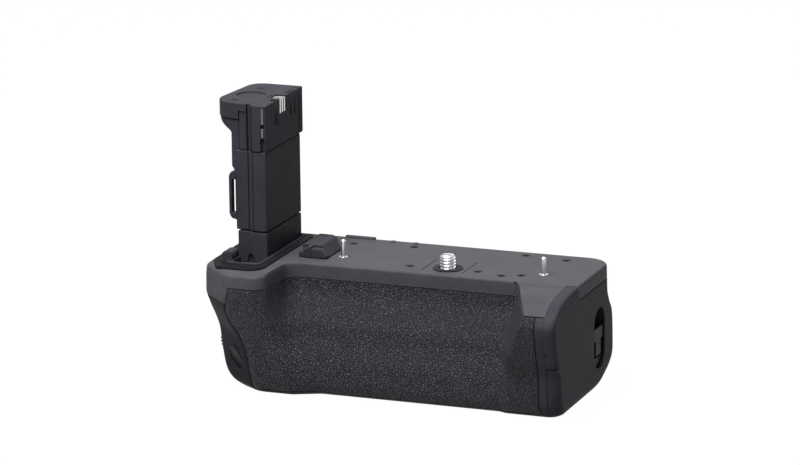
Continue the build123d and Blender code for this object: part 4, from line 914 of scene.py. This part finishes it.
# Head of the stalk. A slot is its middle in y, its width and its floor.
headLook = Look(
    low=56.25, top=62.98, edge=0.4,
    corners=((-74.25, -9.0), (-80.6, -9.0), (-82.6, -7.4), (-99.2, -4.6), (-95.5, 30.95), (-74.25, 30.95)),
    rounds=(0.5, 0.4, 0.4, 9.0, 6.5, 0.5), tongueLow=43.95, tongueTop=60.0,
    tongueCorners=((-86.8, -6.7), (-86.8, 30.95)), tongueRounds=(0.5, 0.4, 0.4, 0, 0, 0.5),
    frontGrooves=(
        ((-83.3, -12, 40), (-81.5, -6.0, 70)), ((-80.75, -12, 40), (-80.35, -8.3, 70)),
        ((-76.45, -12, 50.0), (-75.15, -8.4, 62.1)), ((-76.45, -12, 53.6), (-74.85, -7.6, 55.4)),
        ((-76.6, -12, 40), (-74.7, -7.5, 49.5))),
    slots=((2.68, 2.7, 52.9), (18.3, 2.2, 53.3), (22.2, 1.8, 53.6), (26.8, 1.2, 45.2)),
    slotLeft=-76.6, slotRight=-70, above=70, steps=10, contactRoom=((-78.6, 6.4, 56.2), (-70, 13.2, 70)),
    dimple=(-88.0, 9.4, 62.48), dimpleRadius=6.0,
    topMarks=(((-88.3, 6.4, 61.9), (-85.7, 6.9, 64)), ((-80.15, 7.0, 62.3), (-79.75, 13.4, 64))),
    screws=((-90.58, -1.4), (-88.8, 21.49)), screwDepth=0.7, screwRadius=1.78,
    strips=(((-76.3, -8.95, 50.0), (-75.3, -8.3, 53.6)), ((-76.3, -8.95, 55.4), (-75.3, -8.3, 62.1))),
    stripEdge=0.15)


def makeStalkHead():
    look = headLook
    outline = roundedOutline(look.corners, look.rounds, look.steps)
    cap = prism(outline, "z", look.low, look.top, "stalkHead")
    corners = look.corners[:3] + look.tongueCorners + look.corners[-1:]
    tongue = roundedOutline(corners, look.tongueRounds, look.steps)
    cutBy(cap, [prism(tongue, "z", look.tongueLow, look.tongueTop)], "UNION")
    rounded(cap, look.edge, angle=50.0)
    cutters = [boxCutter(*groove) for groove in look.frontGrooves]
    for middle, width, floor in look.slots:
        cutters.append(boxCutter(
            (look.slotLeft, middle - width / 2, floor), (look.slotRight, middle + width / 2, look.above)))
    cutters.append(boxCutter(*look.contactRoom))
    cutters.append(roundCutter(look.dimple, look.dimpleRadius, 5, sides=64))
    cutters += [boxCutter(*mark) for mark in look.topMarks]
    floor = look.top - look.screwDepth
    cutters += [roundCutter((*spot, floor), look.screwRadius, 5, sides=40) for spot in look.screws]
    cutBy(cap, cutters)
    dress(cap, "stalkPlastic", "stalk_head")
    strips = [roundedPart(low, high, look.stripEdge, 2) for low, high in look.strips]
    dress(joined("headStrip", strips), "dullSteel")


loopLook = Look(
    outer=((-88.3, 35.0), (-90.6, 34.5), (-91.6, 32.8), (-91.6, 17.0), (-90.6, 15.2), (-88.3, 14.6)),
    outerRounds=(0, 1.0, 1.4, 1.8, 1.4, 0), front=-7.1, rear=-4.1, edge=0.3,
    slot=((-90.3, 31.4), (-90.3, 17.4), (-88.7, 17.4), (-88.7, 31.4)), slotRounds=(0.5,) * 4)


def makeStalkLoop():
    look = loopLook
    outer = roundedOutline(look.outer, look.outerRounds, 5)
    piece = prism(outer, "y", look.front, look.rear, "stalkLoop")
    slot = roundedOutline(look.slot, look.slotRounds, 4)
    cutBy(piece, [prism(slot, "y", look.front - 2, look.rear + 2)])
    rounded(piece, look.edge, 2)
    dress(piece, "stalkPlastic", "stalk_loop")


def ring(name, outer, inner, low, high, edge):
    piece = prism(outer, "z", low, high, name)
    cutBy(piece, [prism(inner, "z", low - 3, high + 3)])
    return rounded(piece, edge)


def makeCollar():
    look = collarLook
    outer, inner = roundedOutline(look.outer, look.outerRounds, 8), wellOutline(0, 8)
    seal = ring("stalkSeal", outer, inner, look.low, look.top, look.edge)
    dress(seal, "sealRubber", "stalk_collar")
    rim = ring("stalkRim", inner, wellOutline(look.rim, 8), look.rimLow, look.rimTop, look.rimEdge)
    dress(rim, "stalkPlastic")


# The lug block's parts, then the door hook's: a body, a foot or rib, and a tab
lugParts = (
    dict(low=-20.95, high=-14.0, edge=0.35, segments=3, angle=30.0, outline=(
        (-89.4, -1.3), (-89.4, 4.0), (-88.3, 5.0), (-85.5, 5.0), (-84.65, 4.3), (-84.65, -1.3))),
    dict(low=(-90.0, -21.0, -1.3), high=(-84.0, -13.4, 1.6), edge=0.3, segments=2),
    dict(low=(-84.7, -19.4, 2.2), high=(-84.2, -18.4, 4.0), edge=0.15, segments=2))
hookParts = (
    dict(low=-2.95, high=0.25, edge=0.45, segments=3, angle=30.0, outline=(
        (-61.2, 0.05), (-61.2, 4.0), (-53.6, 4.0), (-51.1, 1.4), (-51.1, 0.05))),
    dict(low=(-59.5, -3.3, 0.05), high=(-57.7, 0.7, 4.9), edge=0.4, segments=3),
    dict(low=(-63.4, -2.6, 0.05), high=(-61.0, 0.1, 2.3), edge=0.3, segments=3))
doorLook = Look(
    side=((-63.0, -0.1), (-63.0, 4.4), (-62.5, 4.8), (-54.4, 4.8), (-51.1, 0.6), (-51.1, -0.1)),
    front=0.95, rear=18.45, cutCorner=((-50, 12.6), (-50, 21), (-58.0, 21), (-56.6, 18.5)),
    cutFrom=-1, cutTo=6, dent=(-60.0, 16.6, 4.3), dentRadius=1.3, edge=0.4)


def makeLugBlock():
    parts = [roundedPart(**part) for part in lugParts]
    dress(joined("lugBlock", parts), "stalkPlastic", "lug_block")


def makeDoorBlock():
    look = doorLook
    block = prism(look.side, "y", look.front, look.rear, "doorBlock")
    cutBy(block, [
        prism(look.cutCorner, "z", look.cutFrom, look.cutTo),
        roundCutter(look.dent, look.dentRadius, 2, sides=32)])
    rounded(block, look.edge, angle=30.0)
    dress(block, "stalkPlastic", "door_block")


def makeDoorHook():
    parts = [roundedPart(**part) for part in hookParts]
    dress(joined("doorHook", parts), "stalkPlastic", "door_hook")


# A node group that sets one unit mesh on every point of a carrier, each with a random spin
def repeatGroup(name):
    group = bpy.data.node_groups.new(name, "GeometryNodeTree")
    for label, kind in (
            ("Carrier", "Geometry"), ("Unit", "Object"), ("Finish", "Material"), ("Spin", "Float"),
            ("Seed", "Int")):
        group.interface.new_socket(label, in_out="INPUT", socket_type="NodeSocket" + kind)
    group.interface.new_socket("Result", in_out="OUTPUT", socket_type="NodeSocketGeometry")
    tree = Tree(group)
    carrier, unit, finish, spin, seed = (
        tree.node("NodeGroupInput", output=label) for label in ("Carrier", "Unit", "Finish", "Spin", "Seed"))
    unit = tree.node("GeometryNodeObjectInfo", None, {"Object": unit}, "Geometry")
    placed = tree.node("GeometryNodeInstanceOnPoints", None, {"Points": carrier, "Instance": unit})
    # input 2 and 3 are the least and the most, and output 1 is a plain number
    chance = tree.node(
        "FunctionNodeRandomValue", {"data_type": "FLOAT"}, {2: spin * -1.0, 3: spin, "Seed": seed}, 1)
    turn = tree.node("ShaderNodeCombineXYZ", None, {"Z": chance})
    spun = tree.node("GeometryNodeRotateInstances", None, {"Instances": placed, "Rotation": turn})
    real = tree.node("GeometryNodeRealizeInstances", None, {"Geometry": spun})
    painted = tree.node("GeometryNodeSetMaterial", None, {"Geometry": real, "Material": finish})
    tree.node("NodeGroupOutput", None, {"Result": painted})
    return group


def repeated(name, unit, spots, finishName, spin, seed):
    carrier = newPiece(name + "Carrier", [Vector(spot) * mm for spot in spots], [])
    modifier = carrier.modifiers.new("repeat", "NODES")
    modifier.node_group = repeatGroup(name + "Nodes")
    chosen = {"Unit": unit, "Finish": finishes[finishName], "Spin": spin, "Seed": seed}
    for item in modifier.node_group.interface.items_tree:
        if item.in_out == "INPUT" and item.name in chosen:
            modifier[item.identifier] = chosen[item.name]
    piece = linked(name, evaluated(carrier))
    for old in (carrier, unit):
        bpy.data.objects.remove(old)
    return piece


screwLook = Look(
    head=1.66, height=0.62, sink=0.72, edge=0.12, sides=36, arm=1.05, armHalf=0.24,
    armDepth=0.4, spin=1.5, seed=4)


def makeDeckScrews():
    look = screwLook
    head = roundCutter((0, 0, -look.sink), look.head, look.height, look.sides)
    rounded(head, look.edge, 2)
    arm, half, floor = look.arm, look.armHalf, look.height - look.sink - look.armDepth
    cutBy(head, [boxCutter((-x, -y, floor), (x, y, 1)) for x, y in ((arm, half), (half, arm))])
    spots = [(x, y, 0.0) for x, y in deckLook.screwSpots]
    piece = repeated("deckScrews", head, spots, "blackScrew", look.spin, look.seed)
    dress(piece, "blackScrew", "deck_screws")


threadLook = Look(
    outer=3.17, root=2.55, pitch=1.27, low=-1.2, top=5.78, taper=0.75, tip=2.3,
    flankTop=1.35, flankSlope=2.7, threadRows=88, taperRows=10, rowStep=0.08, sides=72, shaft=2.9,
    shaftLow=-7.0, shaftTop=-1.5, slot=0.5, slotDepth=1.1)


def makeTripodScrew():
    look = threadLook
    sides, taperLow = look.sides, look.top - look.taper
    # a row is its height and how far the taper lets the thread out, and the plain shaft has no thread
    rows = [(look.shaftLow, None), (look.shaftTop, None)]
    rows += [(z, 1.0) for z in np.linspace(look.low, taperLow, look.threadRows)]
    rows += [
        (z, (look.top - z) / look.taper)
        for z in np.linspace(taperLow + look.rowStep, look.top, look.taperRows)]
    points = []
    for z, share in rows:
        for side in range(sides):
            angle = 2 * math.pi * side / sides
            turn = (z / look.pitch - side / sides) % 1.0
            flank = min(1.0, max(0.0, look.flankTop - look.flankSlope * abs(turn - 0.5)))
            reach = look.shaft
            if share is not None:
                reach = look.root + (look.outer - look.root) * flank
                reach = min(reach, look.tip + (look.outer - look.tip) * share)
            points.append((reach * math.cos(angle), reach * math.sin(angle), z))
    faces = gridFaces(len(rows), sides, True)
    faces.append(tuple(reversed(range(sides))))
    faces.append(tuple(range(len(points) - sides, len(points))))
    piece = outward(newPiece("tripodScrew", np.array(points) * mm, faces))
    slot = boxCutter((-9, -look.slot, look.top - look.slotDepth), (9, look.slot, 9))
    cutBy(piece, [slot], angle=40.0)
    dress(piece, "brightSteel", "tripod_screw", body="camera_screw")


for make in (makeLeather, makeFrontCover, makePanel, makeTopCover, makeEndCover, makePortCover):
    make()
print("body shells made")
for make in (
        makeStalkBase, makeStalkBody, makeStalkHead, makeStalkLoop, makeCollar, makeLugBlock, makeDoorBlock,
        makeDoorHook):
    make()
print("stalk made")
makeDeckScrews()
makeTripodScrew()
print("screws made")


# CAD nodes whose shape stays and that get a finish
nodeFinishes = {
    "coverPlastic": "rear_cover base_plate",
    "innerPlastic": "bay_frame magazine_tray port_frame stick_base screw_bush lan_jack",
    "leatherRubber": "thumb_pad",
    "frameMetal": "sub_frame wheel_pin dial_axles port_cover_pin key_pin stick_gimbal",
    "brightSteel": "guide_pins tripod_socket screw_gear",
    "blackScrew": "base_screws stalk_screws",
    "controlPlastic": "attach_wheel key_hub key_lever main_dial quick_dial mfn_button af_on_button "
                      "ae_lock_button af_point_button stick power_switch shutter_ring",
    "contactMetal": "stalk_contacts bay_contacts tray_contacts lan_contacts",
    "batteryShell": "battery_packs",
    "polishedBlack": "shutter_button",
    "boardCoat": "lan_board main_board switch_boards",
    "chipBlack": "board_parts button_switches"}
for finishName, nodes in nodeFinishes.items():
    for node in nodes.split():
        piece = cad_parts[node]
        piece.data.materials.clear()
        piece.data.materials.append(finishes[finishName])
print("CAD nodes dressed")


# Floor, world and lamps
lampTable = lookTable("place aim size power", (
    ("topLamp", (-230, -260, 1000), (-10, 0, 0), 620, 18.0),
    ("frontLamp", (40, -760, 900), (-10, 0, 0), 420, 6.5),
    ("backLamp", (150, 1100, 700), (-10, 0, 0), 500, 2.5),
    ("edgeLamp", (1050, -420, 60), (40, 0, 0), 420, 0.5)))
floorLook = Look(height=-48.85, reach=3000.0, shade=(0.30, 0.30, 0.30), glow=0.95, strength=1.04)
worldLook = Look(light=0.07, seen=1.0)


def makeLamps(table):
    for name, look in table.items():
        data = bpy.data.lights.new(name, "AREA")
        data.shape = "SQUARE"
        data.size = look.size * mm
        data.energy = look.power
        spot, aim = Vector(look.place) * mm, Vector(look.aim) * mm
        turn = (aim - spot).to_track_quat("-Z", "Y").to_matrix().to_4x4()
        linked(name, data).matrix_world = Matrix.Translation(spot) @ turn


def makeWorld(look):
    world = bpy.data.worlds.new("studio")
    world.use_nodes = True
    bpy.context.scene.world = world
    tree = Tree(world.node_tree)
    plain, white = (
        tree.node("ShaderNodeBackground", None, {"Strength": look[key]}) for key in ("light", "seen"))
    mix = tree.node("ShaderNodeMixShader", None, {"Fac": tree.seenRays(), 1: plain, 2: white})
    tree.node("ShaderNodeOutputWorld", None, {"Surface": mix})


def makeFloor(look):
    reach = look.reach
    corners = [(-reach, -reach), (reach, -reach), (reach, reach), (-reach, reach)]
    floor = newPiece("floor", [Vector((x, y, look.height)) * mm for x, y in corners], [(0, 1, 2, 3)])
    finish = Finish("floorPaper")
    paper = finish.node("ShaderNodeBsdfDiffuse", None, {"Color": (*look.shade, 1)})
    glow = finish.node("ShaderNodeEmission", None, {"Strength": look.strength})
    mix = finish.node("ShaderNodeMixShader", None, {
        "Fac": finish.seenRays() * look.glow, 1: paper, 2: glow})
    floor.data.materials.append(finish.end(mix))


makeLamps(lampTable)
makeWorld(worldLook)
makeFloor(floorLook)
